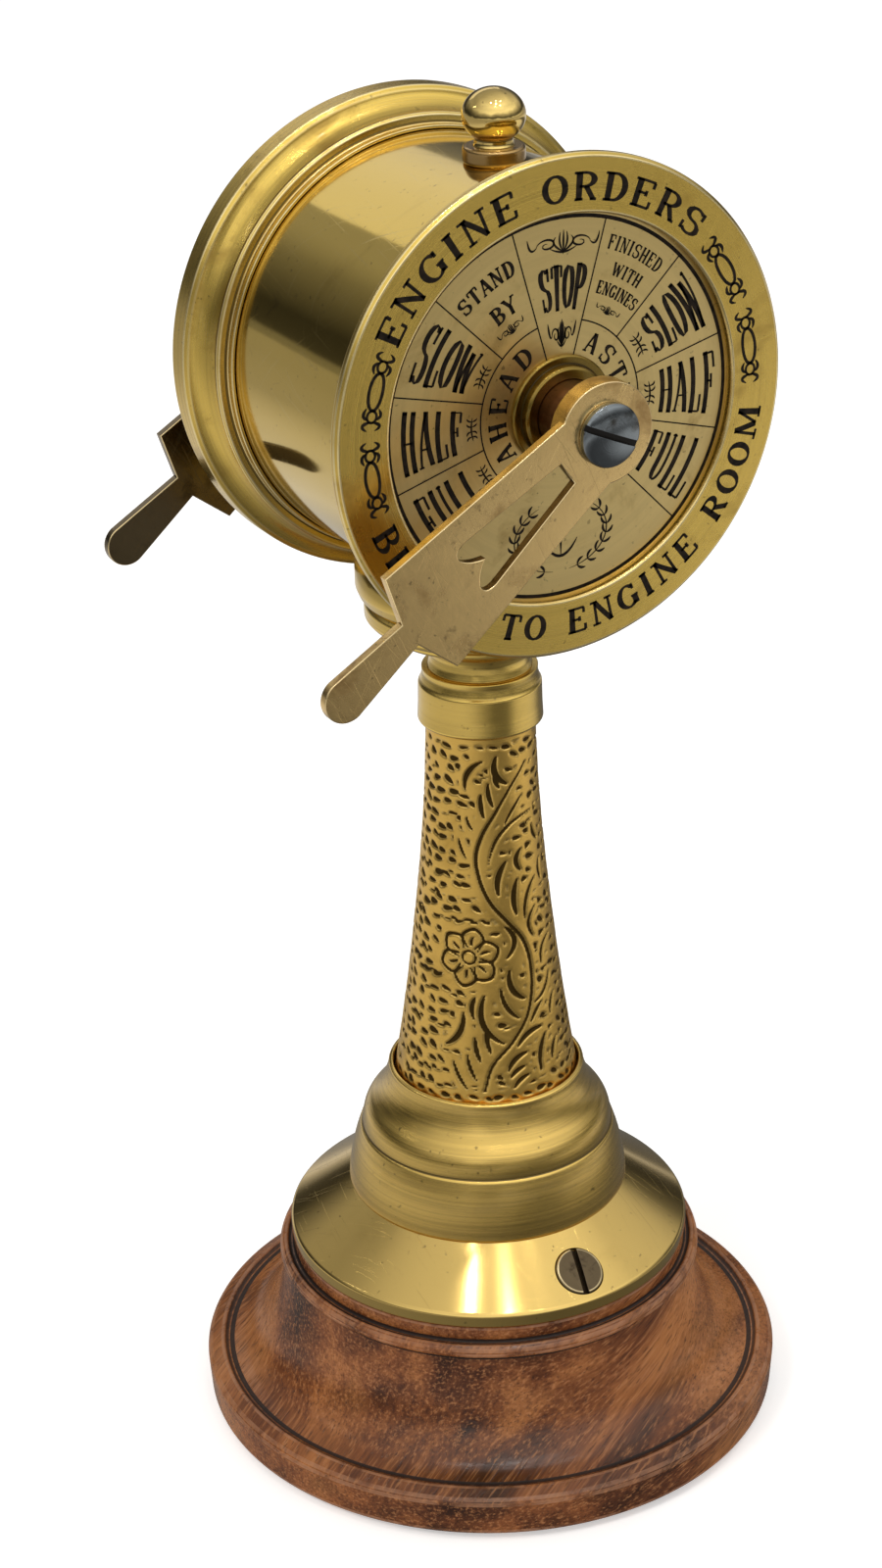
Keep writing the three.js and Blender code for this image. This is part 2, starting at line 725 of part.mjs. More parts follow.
function makeHammerPin() {
  return atPivot(turnedAlongDrum([
    [0, -14], [1.25, -14], [1.25, 2.2], [2.2, 2.2], [2.2, 3], [0, 3],
  ], 24));
}

const GONG_X = 27;
const GONG_Z = 304;
const GONG_RADIUS = 12.5;
const STRIKE_ANGLE = -1.2217;      // where on the gong the hammer lands
const HEAD_RADIUS = 3;
const STRIKE_GAP = 1.5;

// A flat arm with a round head at one end and a short tail towards the star wheel.
function makeHammer() {
  const reach = GONG_RADIUS + STRIKE_GAP + HEAD_RADIUS;
  const headX = GONG_X + reach * Math.cos(STRIKE_ANGLE) - PIVOT_X;
  const headY = GONG_Z + reach * Math.sin(STRIKE_ANGLE) - PIVOT_Z;
  const armHalf = 1.5;
  const armAngle = Math.atan2(headY, headX);
  const armLength = Math.hypot(headX, headY);
  const tailAngle = 0.75 * Math.PI;
  const tailLength = 12.3;
  const hubRadius = 3.5;
  const bar = (length, angle) => {
    const shape = new THREE.Shape();
    shape.moveTo(0, -armHalf).lineTo(length, -armHalf).lineTo(length, armHalf).lineTo(0, armHalf);
    return plate(shape, -1.5, 1.5)
      .translate(0, 0, -DRUM_HEIGHT)
      .rotateY(-angle)
      .translate(PIVOT_X, 0, PIVOT_Z);
  };
  const hub = atPivot(turnedAlongDrum(diskProfile(hubRadius, -1.8, 1.8), 24));
  const head = turnedAlongDrum(diskProfile(HEAD_RADIUS, -4, 4), 24)
    .translate(PIVOT_X + headX, 0, PIVOT_Z + headY - DRUM_HEIGHT);
  const bore = atPivot(turnedAlongDrum(diskProfile(1.25 + RUNNING_GAP, -5, 5), 24));
  return cut(join(hub, bar(armLength, armAngle), bar(tailLength, tailAngle), head), bore);
}

// Leaf spring that leans towards the hammer's tail and throws it back.
function makeHammerSpring() {
  const foot = UPPER_WASHER_TOP + BRACKET_THICKNESS - DRUM_HEIGHT;
  const shape = new THREE.Shape();
  shape.moveTo(7, foot);
  shape.lineTo(11, foot);
  shape.lineTo(11, foot + 0.5);
  shape.lineTo(7.6, foot + 0.5);
  shape.lineTo(13, 263.4 - DRUM_HEIGHT);
  shape.lineTo(12.5, 263.5 - DRUM_HEIGHT);
  shape.closePath();
  return plate(shape, -2, 2);
}

function atGong(geometry) {
  return geometry.translate(GONG_X, 0, GONG_Z - DRUM_HEIGHT);
}

function makeGong() {
  return atGong(turnedAlongDrum([
    [2.1, -7.2],
    [8.6, -7.2],
    ...bend([9.4, -7], [11.8, -6], [12.2, -1], 3),
    [GONG_RADIUS, 3],
    [GONG_RADIUS - 1.1, 3],
    ...bend([11, -1], [10.6, -5.2], [8.6, -6], 3),
    [2.1, -6],
    [2.1, -7.2],
  ], 20));
}

function makeGongPost() {
  return atGong(turnedAlongDrum([
    [0, -DIAL_BACK], [3.2, -DIAL_BACK], [3.2, -7.2], [1.75, -7.2], [1.75, -18], [0, -18],
  ], 24));
}

function makeGongScrew() {
  return atGong(turnedAlongDrum([
    [0, -17], [1.6, -17], [1.6, -6], [3.6, -6], [3.4, -4.4], [2.4, -3.8], [0, -3.6],
  ], 24));
}

// ---- Finial -------------------------------------------------------------------

const CROWN = DRUM_HEIGHT + DRUM_RADIUS;
const FINIAL_WASHER_TOP = CROWN + 2.5;

// A flattened ball on a waisted neck, with the stud that goes through the shell.
function makeFinialBall() {
  const ballRadius = 7.35;
  const halfHeight = 6.3;
  const ballCentre = FINIAL_WASHER_TOP + 7.9;
  const ball = [];
  const neckAngle = -0.85;
  const steps = 8;
  for (let i = 0; i <= steps; i += 1) {
    const angle = neckAngle + (i / steps) * (Math.PI / 2 - neckAngle);
    ball.push([ballRadius * Math.cos(angle), ballCentre + halfHeight * Math.sin(angle)]);
  }
  ball[ball.length - 1][0] = 0;
  const profile = [
    [0, CROWN - 9],
    [FINIAL_STUD_RADIUS, CROWN - 9],
    [FINIAL_STUD_RADIUS, FINIAL_WASHER_TOP],
    [5.8, FINIAL_WASHER_TOP],
    [6, FINIAL_WASHER_TOP + 0.6],
    [4.6, FINIAL_WASHER_TOP + 1.4],
    [4.4, FINIAL_WASHER_TOP + 2.4],
    ...ball,
  ];
  return turnedUpright(profile, 24).translate(0, FINIAL_OFFSET, 0);
}

function makeFinialWasher() {
  return turnedUpright([
    [FINIAL_STUD_RADIUS + FIT_GAP, CROWN],
    [5, CROWN],
    [7, CROWN + 0.5],
    [7.2, CROWN + 0.8],
    [7.2, FINIAL_WASHER_TOP - 0.3],
    [6.9, FINIAL_WASHER_TOP],
    [FINIAL_STUD_RADIUS + FIT_GAP, FINIAL_WASHER_TOP],
    [FINIAL_STUD_RADIUS + FIT_GAP, CROWN],
  ], 24).translate(0, FINIAL_OFFSET, 0);
}

function makeFinialNut() {
  const shape = hexagonShape(7);
  addRoundHole(shape, 0, 0, FINIAL_STUD_RADIUS + FIT_GAP);
  const gap = 0.2;
  return new THREE.ExtrudeGeometry(shape, { depth: 3, bevelEnabled: false, curveSegments: 8 })
    .translate(0, FINIAL_OFFSET, CROWN - DRUM_WALL - 0.3 - gap - 3);
}

// ---- Assembly -----------------------------------------------------------------

addPart('base_felt_pad', makeFeltPad(), felt);
addPart('wooden_base', boreForFlangeScrews(makeWoodenBase()), wood);
addPart('base_flange', makeFlange(), satinBrass);
addPart('flange_screw_front', makeFlangeScrew(1), darkBronze);
addPart('flange_screw_rear', makeFlangeScrew(-1), darkBronze);
addPart('pedestal_ring', makePedestalRing(), satinBrass);
addPart('column', makeColumn(), satinBrass);
addPart('column_collar', makeColumnCollar(), satinBrass);
addPart('saddle_stem', makeSaddleStem(), satinBrass);
addPart('saddle_lower_ring', makeRoundedRing(23.7, STEM_TOP, LOWER_RING_TOP), satinBrass);
addPart('saddle_middle_ring', makeRoundedRing(27.8, LOWER_RING_TOP, MIDDLE_RING_TOP), satinBrass);
addPart('drum_saddle', makeDrumSaddle(), satinBrass);
addPart('tie_rod', makeTieRod(), plainSteel);
addPart('tie_rod_lower_washer', makeLowerWasher(), plainSteel);
addPart('tie_rod_lower_nut', makeNut(LOWER_WASHER_TOP - WASHER_THICKNESS - NUT_HEIGHT), plainSteel);
addPart('tie_rod_upper_washer', makeUpperWasher(), plainSteel);
addPart('tie_rod_upper_nut', makeNut(UPPER_WASHER_TOP + BRACKET_THICKNESS), plainSteel);

addPart('drum_shell', makeDrumShell(), polishedBrass);
addPart('front_bezel', makeFrontBezel(), rimBrass);
addPart('rear_bezel', makeRearBezel(), rimBrass);
addPart('rear_seam_ring', makeRearSeamRing(), rimBrass);
addPart('front_dial_plate', turnedAlongDrum(dialProfile()), dialBrass);
addPart('rear_dial_plate', turnedAlongDrumRear(dialProfile()), dialBrass);
addPart('front_bush', turnedAlongDrum(bushProfile(), 24), dialBrass);
addPart('rear_bush', turnedAlongDrumRear(bushProfile(), 24), dialBrass);

addPart('lever_shaft', makeLeverShaft(), darkBronze);
addPart('front_lever', makeLever(1), bronze);
addPart('rear_lever', makeLever(-1), bronze);
addPart('front_lever_screw', makeLeverScrew(1), darkSteel);
addPart('rear_lever_screw', makeLeverScrew(-1), darkSteel);

addPart('star_wheel', makeStarWheel(), dialBrass);
addPart('star_wheel_screw', makeStarWheelScrew(), plainSteel);
addPart('mechanism_bracket', makeBracket(), dialBrass);
addPart('hammer_pin', makeHammerPin(), plainSteel);
addPart('bell_hammer', makeHammer(), dialBrass);
addPart('hammer_spring', makeHammerSpring(), plainSteel);
addPart('gong', makeGong(), polishedBrass);
addPart('gong_post', makeGongPost(), dialBrass);
addPart('gong_screw', makeGongScrew(), plainSteel);

addPart('finial_ball', makeFinialBall(), polishedBrass);
addPart('finial_washer', makeFinialWasher(), bronze);
addPart('finial_nut', makeFinialNut(), plainSteel);

export default group;
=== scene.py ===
# A ship's engine telegraph on a turned wooden foot: a brass drum with a dial at each
# end, one shaft through it that turns both levers, a chased brass column and a turned
# pedestal. The sections follow the order in which it is put together, from the floor up.
import math

import bmesh
import bpy
import numpy as np
from mathutils import Matrix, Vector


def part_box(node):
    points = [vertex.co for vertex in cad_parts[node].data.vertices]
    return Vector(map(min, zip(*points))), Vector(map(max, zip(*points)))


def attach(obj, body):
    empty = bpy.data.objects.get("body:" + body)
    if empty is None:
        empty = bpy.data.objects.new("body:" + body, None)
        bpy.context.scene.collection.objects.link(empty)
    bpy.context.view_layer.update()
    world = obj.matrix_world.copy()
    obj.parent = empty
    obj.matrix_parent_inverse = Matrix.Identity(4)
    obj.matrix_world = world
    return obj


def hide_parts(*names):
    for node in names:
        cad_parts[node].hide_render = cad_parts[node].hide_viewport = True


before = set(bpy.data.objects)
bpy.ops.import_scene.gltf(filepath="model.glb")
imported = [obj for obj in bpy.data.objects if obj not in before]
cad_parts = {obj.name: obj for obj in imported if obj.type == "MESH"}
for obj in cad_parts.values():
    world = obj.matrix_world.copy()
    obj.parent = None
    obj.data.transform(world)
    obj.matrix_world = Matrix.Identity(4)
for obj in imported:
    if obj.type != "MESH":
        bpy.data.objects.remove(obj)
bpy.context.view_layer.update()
MM = 0.001


# ---- Camera, floor and light -----------------------------------------------------
# The telegraph stands on a pale table top in a softly lit room. The camera looks
# down on it from the front left, and the levers point to its lower left.

scene = bpy.context.scene
scene.view_settings.view_transform = "Standard"


def into_scene(name, data):
    """A new object that holds the data, in the scene."""
    thing = bpy.data.objects.new(name, data)
    scene.collection.objects.link(thing)
    return thing


camera_data = bpy.data.cameras.new("camera")
camera_data.sensor_fit = "VERTICAL"
camera_data.sensor_height = 36
camera_data.lens = 74.54
camera_data.clip_start = 0.05
camera_data.clip_end = 50
camera = into_scene("camera", camera_data)
scene.camera = camera


def stand_camera(place, forward, roll):
    """Puts the camera at place, looking along forward, turned by roll about its own
    line of sight: its right hand is level before the roll, and up is square to both."""
    forward = np.array(forward) / np.linalg.norm(forward)
    right = np.cross(forward, [0, 0, 1])
    right /= np.linalg.norm(right)
    up = np.cross(right, forward)
    rolled_right = right * math.cos(roll) + up * math.sin(roll)
    rolled_up = up * math.cos(roll) - right * math.sin(roll)
    matrix = np.eye(4)
    matrix[:3, 0] = rolled_right
    matrix[:3, 1] = rolled_up
    matrix[:3, 2] = -forward
    matrix[:3, 3] = place
    camera.matrix_world = Matrix(matrix.tolist())


stand_camera(
    place=(-0.3667, -0.6303, 0.5171), forward=(0.44422, 0.78837, -0.42559), roll=-0.021657,
)


def set_up(node, **settings):
    """Sets up a node. Settings in lower case are its own, such as operation, and
    those with a capital are its sockets, with spaces written as underscores."""
    for name, value in settings.items():
        if name[0].islower():
            setattr(node, name, value)
        else:
            node.inputs[name.replace("_", " ")].default_value = value
    return node


def node_in(tree, kind, **settings):
    """A new shader node of a kind, set up."""
    return set_up(tree.nodes.new("ShaderNode" + kind), **settings)


def wire(tree, *pairs):
    """Joins outputs to inputs: each pair is (output, input)."""
    for output, target in pairs:
        tree.links.new(output, target)


def noise_over(tree, vector, **settings):
    """Noise, from 0 to 1, over the places that a vector gives."""
    noise = node_in(tree, "TexNoise", **settings)
    wire(tree, (vector, noise.inputs["Vector"]))
    return noise.outputs["Fac"]


def ramp_of(tree, value, *stops):
    """The colour that a value picks between stops, each (position, (r, g, b))."""
    node = node_in(tree, "ValToRGB")
    ramp = node.color_ramp
    while len(ramp.elements) < len(stops):
        ramp.elements.new(0.5)
    for element, (position, colour) in zip(ramp.elements, stops):
        element.position = position
        element.color = (*colour, 1)
    wire(tree, (value, node.inputs["Fac"]))
    return node.outputs["Color"]


def fill(tree, sockets, values):
    """Gives each socket its value: an output to join, a number, or a colour."""
    for socket, value in zip(sockets, values):
        if isinstance(value, tuple):
            socket.default_value = (*value, 1)
        elif isinstance(value, (int, float)):
            socket.default_value = value
        elif value is not None:
            tree.links.new(value, socket)


def sum_up(tree, operation, first, second=None, third=None, clamp=False):
    """A sum worked on outputs or plain numbers."""
    node = node_in(tree, "Math", operation=operation, use_clamp=clamp)
    fill(tree, node.inputs, (first, second, third))
    return node.outputs[0]


def times(tree, value, factor, clamp=False):
    return sum_up(tree, "MULTIPLY", value, factor, clamp=clamp)


def mixed_shaders(tree, mask, first, second):
    """A shader that goes from the first node's to the second's with the mask."""
    node = node_in(tree, "MixShader")
    wire(
        tree, (mask, node.inputs["Fac"]),
        (first.outputs[0], node.inputs[1]), (second.outputs[0], node.inputs[2]),
    )
    return node


def light_room():
    """A room for the brass to reflect: a lit ceiling that falls off to dark walls, and
    a brighter side toward the camera. It is an even white to the camera past the table,
    and an even grey to the rays that light the wood, so that shadows stay soft."""
    world = bpy.data.worlds.new("room")
    world.use_nodes = True
    scene.world = world
    tree = world.node_tree
    tree.nodes.clear()
    place = node_in(tree, "TexCoord").outputs["Generated"]
    split = node_in(tree, "SeparateXYZ")
    wire(tree, (place, split.inputs[0]))
    patches = noise_over(tree, place, Scale=2.3, Detail=1.5)
    level = sum_up(tree, "SUBTRACT", split.outputs["Z"], 0.17)
    uneven = sum_up(tree, "MULTIPLY_ADD", patches, 0.34, level)
    bands = [
        (0.00, 0.30), (0.02, 0.07), (0.14, 0.05), (0.24, 0.14), (0.36, 0.30),
        (0.50, 0.52), (0.66, 0.46), (0.84, 0.60), (1.00, 0.52),
    ]
    walls = ramp_of(tree, uneven, *(
        (height, (glow, glow * 0.985, glow * 0.94)) for height, glow in bands))
    near_side = node_in(
        tree, "MapRange", From_Min=-0.7, From_Max=0.5, To_Min=2.6, To_Max=0.75)
    seen = node_in(tree, "Background", Color=(1, 1, 1, 1), Strength=1.0)
    even = node_in(tree, "Background", Color=(1, 0.98, 0.96, 1), Strength=0.55)
    room = node_in(tree, "Background")
    path = node_in(tree, "LightPath")
    wire(
        tree, (split.outputs["Y"], near_side.inputs["Value"]),
        (near_side.outputs["Result"], room.inputs["Strength"]), (walls, room.inputs["Color"]),
    )
    lit = mixed_shaders(tree, path.outputs["Is Diffuse Ray"], room, even)
    whole = mixed_shaders(tree, path.outputs["Is Camera Ray"], lit, seen)
    wire(tree, (whole.outputs[0], node_in(tree, "OutputWorld").inputs["Surface"]))


TELEGRAPH_MIDDLE = np.array([0, 0, 0.2])


def soft_lamp(name, place, power, width, height, mirrored=True, tint=(1.0, 0.97, 0.92)):
    """A rectangular diffuser lamp that faces the middle of the telegraph. One that is
    not mirrored lights the table and the wood without a patch on the brass."""
    data = bpy.data.lights.new(name, "AREA")
    data.shape = "RECTANGLE"
    data.size = width
    data.size_y = height
    data.energy = power
    data.color = tint
    lamp = into_scene(name, data)
    lamp.visible_glossy = mirrored
    lamp.location = place
    toward = TELEGRAPH_MIDDLE - np.array(place)
    level = math.hypot(toward[0], toward[1])
    lamp.rotation_euler = (math.atan2(level, -toward[2]), 0, math.atan2(-toward[0], toward[1]))


light_room()
soft_lamp("lamp_over_left", (-1.2, -0.4, 1.5), 9, 0.50, 0.36, mirrored=False)
soft_lamp("lamp_over_right", (1.6, 0.4, 1.0), 5, 0.6, 1.0, mirrored=False)
soft_lamp("lamp_behind", (0.4, 1.7, 1.3), 1.5, 1.6, 0.50)
for number, (x, y) in enumerate(((-1.34, 0.66), (-1.44, 0.83), (-1.54, 1.00))):
    soft_lamp(f"window_{number}", (x, y, 1.46), 0.12, 0.07, 0.12)
for number, (x, y, z, power) in enumerate((
    (-0.42, -0.30, 1.9, 0.9), (-0.10, -0.62, 1.9, 1.2), (0.35, -0.45, 1.9, 0.5),
    (-0.30, -0.85, 1.7, 0.3), (0.14, -0.80, 1.6, 0.3), (0.05, -0.30, 2.0, 0.4),
)):
    soft_lamp(f"ceiling_lamp_{number}", (x, y, z), power, 0.05, 0.05)


def lay_table():
    """The table top: a flat square sheet, just under the felt, white to the camera. What
    the brass sees of it goes by the distance from a point out to the right of the foot:
    bright at that point, dark across the foot, and brighter again on the left of it."""
    reach = 6.0
    corners = [(-reach, -reach, 0), (reach, -reach, 0), (reach, reach, 0), (-reach, reach, 0)]
    mesh = bpy.data.meshes.new("table_top")
    mesh.from_pydata(corners, [], [(0, 1, 2, 3)])
    table = into_scene("table_top", mesh)
    paint = bpy.data.materials.new("pale_table_paint")
    paint.use_nodes = True
    tree = paint.node_tree
    tree.nodes.clear()
    lit = node_in(tree, "BsdfDiffuse", Color=(0.88, 0.88, 0.88, 1))
    lift = node_in(tree, "Emission", Color=(1, 1, 1, 1), Strength=0.44)
    white = node_in(tree, "AddShader")
    aside = node_in(tree, "VectorMath", operation="SUBTRACT")
    aside.inputs[1].default_value = (0.75, -0.42, 0)
    far_off = node_in(tree, "VectorMath", operation="LENGTH")
    zones = [
        (0.00, 0.92), (0.13, 0.80), (0.19, 0.18), (0.27, 0.12), (0.33, 0.30), (0.38, 0.75),
        (0.47, 0.66), (0.58, 0.42), (1.0, 0.38),
    ]
    zones_reach = 3.0
    fall = ramp_of(
        tree, sum_up(tree, "DIVIDE", far_off.outputs["Value"], zones_reach),
        *((distance, (glow, glow * 0.97, glow * 0.92)) for distance, glow in zones),
    )
    mirrored = node_in(tree, "Emission")
    path = node_in(tree, "LightPath")
    wire(
        tree, (node_in(tree, "TexCoord").outputs["Object"], aside.inputs[0]),
        (aside.outputs[0], far_off.inputs[0]), (fall, mirrored.inputs["Color"]),
        (lit.outputs[0], white.inputs[0]), (lift.outputs[0], white.inputs[1]),
    )
    whole = mixed_shaders(tree, path.outputs["Is Glossy Ray"], white, mirrored)
    wire(tree, (whole.outputs[0], node_in(tree, "OutputMaterial").inputs["Surface"]))
    mesh.materials.append(paint)


lay_table()


# ---- Felt pad ----------------------------------------------------------------------
# A disc of thin green-black felt glued under the wooden foot so that it doesn't mark
# the table. It is cut from sheet, and its fibres show only as a fine fuzz.

def new_finish(name, **uniform):
    """A material with a Principled shader, with its uniform sockets set."""
    finish = bpy.data.materials.new(name)
    finish.use_nodes = True
    tree = finish.node_tree
    surface = tree.nodes["Principled BSDF"]
    set_up(surface, **uniform)
    return finish, tree, surface


def object_space(tree):
    return node_in(tree, "TexCoord").outputs["Object"]


def cover(tree, surface, colour, height, depth, rough=None, strength=1.0):
    """Wires a finish's colour, its fine relief of a depth in metres, and its roughness
    where that varies."""
    bump = node_in(tree, "Bump", Strength=strength, Distance=depth)
    wire(
        tree, (colour, surface.inputs["Base Color"]), (height, bump.inputs["Height"]),
        (bump.outputs["Normal"], surface.inputs["Normal"]),
    )
    if rough is not None:
        wire(tree, (rough, surface.inputs["Roughness"]))


def felt_finish():
    finish, tree, surface = new_finish("green_black_felt", Roughness=0.95)
    fuzz = noise_over(tree, object_space(tree), Scale=2600.0, Detail=3.0, Roughness=0.7)
    shade = ramp_of(tree, fuzz, (0.3, (0.006, 0.011, 0.008)), (0.7, (0.022, 0.034, 0.026)))
    cover(tree, surface, shade, fuzz, 0.0002, strength=0.6)
    return finish


def finish_cad_node(node, finish):
    """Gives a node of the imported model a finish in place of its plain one."""
    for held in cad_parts[node].material_slots:
        held.material = finish


finish_cad_node("base_felt_pad", felt_finish())


# ---- Wooden foot -------------------------------------------------------------------
# The foot is turned from one thick disc of rosewood, faceplate side down, with a
# bevelled ledge, a cove and two beads, then stained, sealed and rubbed to a low gloss.

def bend(start, pull, end, steps):
    """Points on the curve from start to end that is drawn toward pull: the quadratic
    mean (1-t)^2 start + 2 t (1-t) pull + t^2 end."""
    t = np.linspace(0, 1, steps + 1)[:, None]
    curve = (1 - t) ** 2 * np.array(start) + 2 * t * (1 - t) * np.array(pull)
    return (curve + t ** 2 * np.array(end)).tolist()


def eased(corners, ease, closed):
    """Rounds the corners of a turned profile and marks its edges. Each corner gives
    way to a short quadratic bend that starts and ends ease before and after it, and a
    point is kept just outside each bend, so that the flats stay flat. The mark is the
    sine of the turn: above 0 on an edge that stands out, below 0 in a hollow."""
    corners = np.array(corners, float)
    count = len(corners)
    points, marks = [], []
    for i, here in enumerate(corners):
        if not closed and i in (0, count - 1):
            points.append([here])
            marks.append([0.0])
            continue
        before = corners[i - 1] - here
        after = corners[(i + 1) % count] - here
        run_in, run_out = np.linalg.norm(before), np.linalg.norm(after)
        turn = (before[1] * after[0] - before[0] * after[1]) / (run_in * run_out)
        cut_in = min(ease, 0.36 * run_in)
        cut_out = min(ease, 0.36 * run_out)
        start = here + before / run_in * cut_in
        end = here + after / run_out * cut_out
        steps = 3 if abs(turn) < 0.3 else 5
        arc = np.array(bend(start, here, end, steps))
        guard_in = start + before / run_in * min(0.12, 0.1 * run_in)
        guard_out = end + after / run_out * min(0.12, 0.1 * run_out)
        points.append(np.vstack([guard_in, arc, guard_out]))
        edge = np.zeros(steps + 3)
        edge[1:-1] = turn
        marks.append(edge)
    return np.vstack(points), np.concatenate(marks)


def mesh_piece(name, vertices, faces, finish, smooth=True):
    """A mesh object at the origin from whole arrays of vertices, in millimetres, and
    of four-cornered faces."""
    mesh = bpy.data.meshes.new(name)
    mesh.vertices.add(len(vertices))
    mesh.vertices.foreach_set("co", (np.asarray(vertices, float) * MM).ravel())
    faces = np.asarray(faces, np.int32)
    mesh.loops.add(faces.size)
    mesh.loops.foreach_set("vertex_index", faces.ravel())
    mesh.polygons.add(len(faces))
    mesh.polygons.foreach_set("loop_start", np.arange(len(faces), dtype=np.int32) * 4)
    mesh.polygons.foreach_set("use_smooth", np.full(len(faces), smooth))
    mesh.update(calc_edges=True)
    mesh.validate()
    mesh.materials.append(finish)
    return into_scene(name, mesh)


def grid_faces(rows, columns, wrap_rows, wrap_columns, flip=False):
    """Faces of a grid of rows by columns points, numbered along the columns first."""
    i = np.arange(rows if wrap_rows else rows - 1)[:, None]
    j = np.arange(columns if wrap_columns else columns - 1)[None, :]
    i_next, j_next = (i + 1) % rows, (j + 1) % columns
    ring = [i * columns + j, i * columns + j_next, i_next * columns + j_next, i_next * columns + j]
    if flip:
        ring = ring[::-1]
    return np.stack(np.broadcast_arrays(*ring), -1).reshape(-1, 4)


def points_of(mesh):
    """The points of a mesh, in millimetres."""
    points = np.empty(len(mesh.vertices) * 3)
    mesh.vertices.foreach_get("co", points)
    return points.reshape(-1, 3) / MM


def rework(mesh, change):
    """Hands a mesh's points and faces to a change and keeps what comes of it."""
    work = bmesh.new()
    work.from_mesh(mesh)
    change(work)
    work.to_mesh(mesh)
    work.free()


def mark_turning(piece, turning):
    """Keeps, at each vertex, its distance from the turning axis and its place along
    it, in millimetres, and how sharp an edge it stands on."""
    kept = piece.data.attributes.new("turning", "FLOAT_VECTOR", "POINT")
    kept.data.foreach_set("vector", np.asarray(turning, float).ravel())


DRUM_MIDDLE = sum(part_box("drum_shell")[i][2] for i in (0, 1)) / 2 / MM


def turned(name, corners, finish, ease=0.35, segments=192, side=0):
    """A piece turned in the lathe: the profile (distance from the axis, height) is
    carried round the axis. With side 0 the axis is upright, and the point is
    (r cos a, r sin a, h). With side 1 or -1 it is the drum's axis, h is measured from
    the drum's middle to the front or to the rear, and the point is
    (r cos a, -side h, middle + r sin a). A profile that ends on the axis is a solid
    piece, and any other one closes on itself as a ring."""
    solid = corners[0][0] == 0 and corners[-1][0] == 0
    profile, marks = eased(corners, ease, closed=not solid)
    angle = np.linspace(0, 2 * np.pi, segments, endpoint=False)[None, :] + 0.4
    r, h = profile[:, :1], profile[:, 1:]
    level = h + 0 * angle
    if side == 0:
        points = np.stack([r * np.cos(angle), r * np.sin(angle), level], -1)
    else:
        points = np.stack([r * np.cos(angle), -side * level, DRUM_MIDDLE + r * np.sin(angle)], -1)
    faces = grid_faces(len(profile), segments, not solid, True, flip=side < 0)
    piece = mesh_piece(name, points.reshape(-1, 3), faces, finish)
    turning = np.stack([r + 0 * angle, level, marks[:, None] + 0 * angle], -1)
    mark_turning(piece, turning.reshape(-1, 3))
    if solid:
        close_poles(piece)
    return piece


def close_poles(piece):
    """Merges the points that lie on the axis into one at each end."""
    rework(piece.data, lambda work: bmesh.ops.remove_doubles(work, verts=work.verts, dist=1e-7))


def stands_for(piece, body, slot_name, *nodes):
    """The piece rides on a body and hides the nodes it stands for. Its slot_name
    is not used."""
    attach(piece, body)
    if nodes:
        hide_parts(*nodes)
    return piece


def new_group(name, inputs, outputs):
    """A shader node group, what it is given by name, and the outputs it makes."""
    group = bpy.data.node_groups.new(name, "ShaderNodeTree")
    for label, value in inputs:
        socket = group.interface.new_socket(label, in_out="INPUT", socket_type="NodeSocketFloat")
        socket.default_value = value
    for label in outputs:
        group.interface.new_socket(label, in_out="OUTPUT", socket_type="NodeSocketFloat")
    given = group.nodes.new("NodeGroupInput").outputs
    return group, given, group.nodes.new("NodeGroupOutput").inputs


def step_up(tree, value, low, high, start=0.0, end=1.0):
    """A smooth rise from start to end as value goes from low to high."""
    node = node_in(tree, "MapRange", interpolation_type="SMOOTHSTEP")
    names = ("Value", "From Min", "From Max", "To Min", "To Max")
    fill(tree, [node.inputs[name] for name in names], (value, low, high, start, end))
    return node.outputs["Result"]


def blend_colours(tree, under, *layers):
    """A colour with others laid over it in turn, each (mask, colour)."""
    for mask, over in layers:
        node = node_in(tree, "Mix", data_type="RGBA")
        fill(tree, (node.inputs[0], node.inputs[6], node.inputs[7]), (mask, under, over))
        under = node.outputs[2]
    return under


def build_up(tree, start, *terms):
    """A start with terms added to it in turn, each (value, share of it)."""
    for value, share in terms:
        start = sum_up(tree, "MULTIPLY_ADD", value, share, start)
    return start


def kept_turning(tree):
    """What mark_turning keeps, as outputs X, Y and Z."""
    split = node_in(tree, "SeparateXYZ")
    turning = node_in(tree, "Attribute", attribute_name="turning")
    wire(tree, (turning.outputs["Vector"], split.inputs[0]))
    return split.outputs


def edge_wear_group():
    """Where a turned edge stands out and has rubbed bright, and where a hollow is
    darkened: dirt, and painted shade for the shadow in slots, grooves and corners. The
    bright edges are broken up by noise."""
    group, given, made = new_group("edge_wear", [("Breakup", 0.5)], ["Bright", "DirtAndShade"])
    mark = kept_turning(group)["Z"]
    noise = noise_over(group, object_space(group), Scale=160, Detail=4)
    whole = sum_up(group, "SUBTRACT", 1.0, given["Breakup"])
    broken = step_up(group, noise, 0.3, 0.62)
    share = sum_up(group, "MULTIPLY_ADD", given["Breakup"], broken, whole)
    bright = times(group, step_up(group, mark, 0.15, 0.7), share)
    wire(group, (bright, made["Bright"]), (step_up(group, mark, -0.12, -0.6), made["DirtAndShade"]))
    return group


edge_wear = edge_wear_group()


def place_group(tree, group, **values):
    """Puts a node group in a material with its own values. Gives its outputs."""
    return node_in(tree, "Group", node_tree=group, **values).outputs


def drawn_out(tree, place, turn, stretch):
    """Space turned, then drawn out along its own axes by lengths in metres."""
    lie = node_in(tree, "Mapping", vector_type="TEXTURE", Rotation=turn, Scale=stretch)
    wire(tree, (place, lie.inputs["Vector"]))
    return lie.outputs["Vector"]


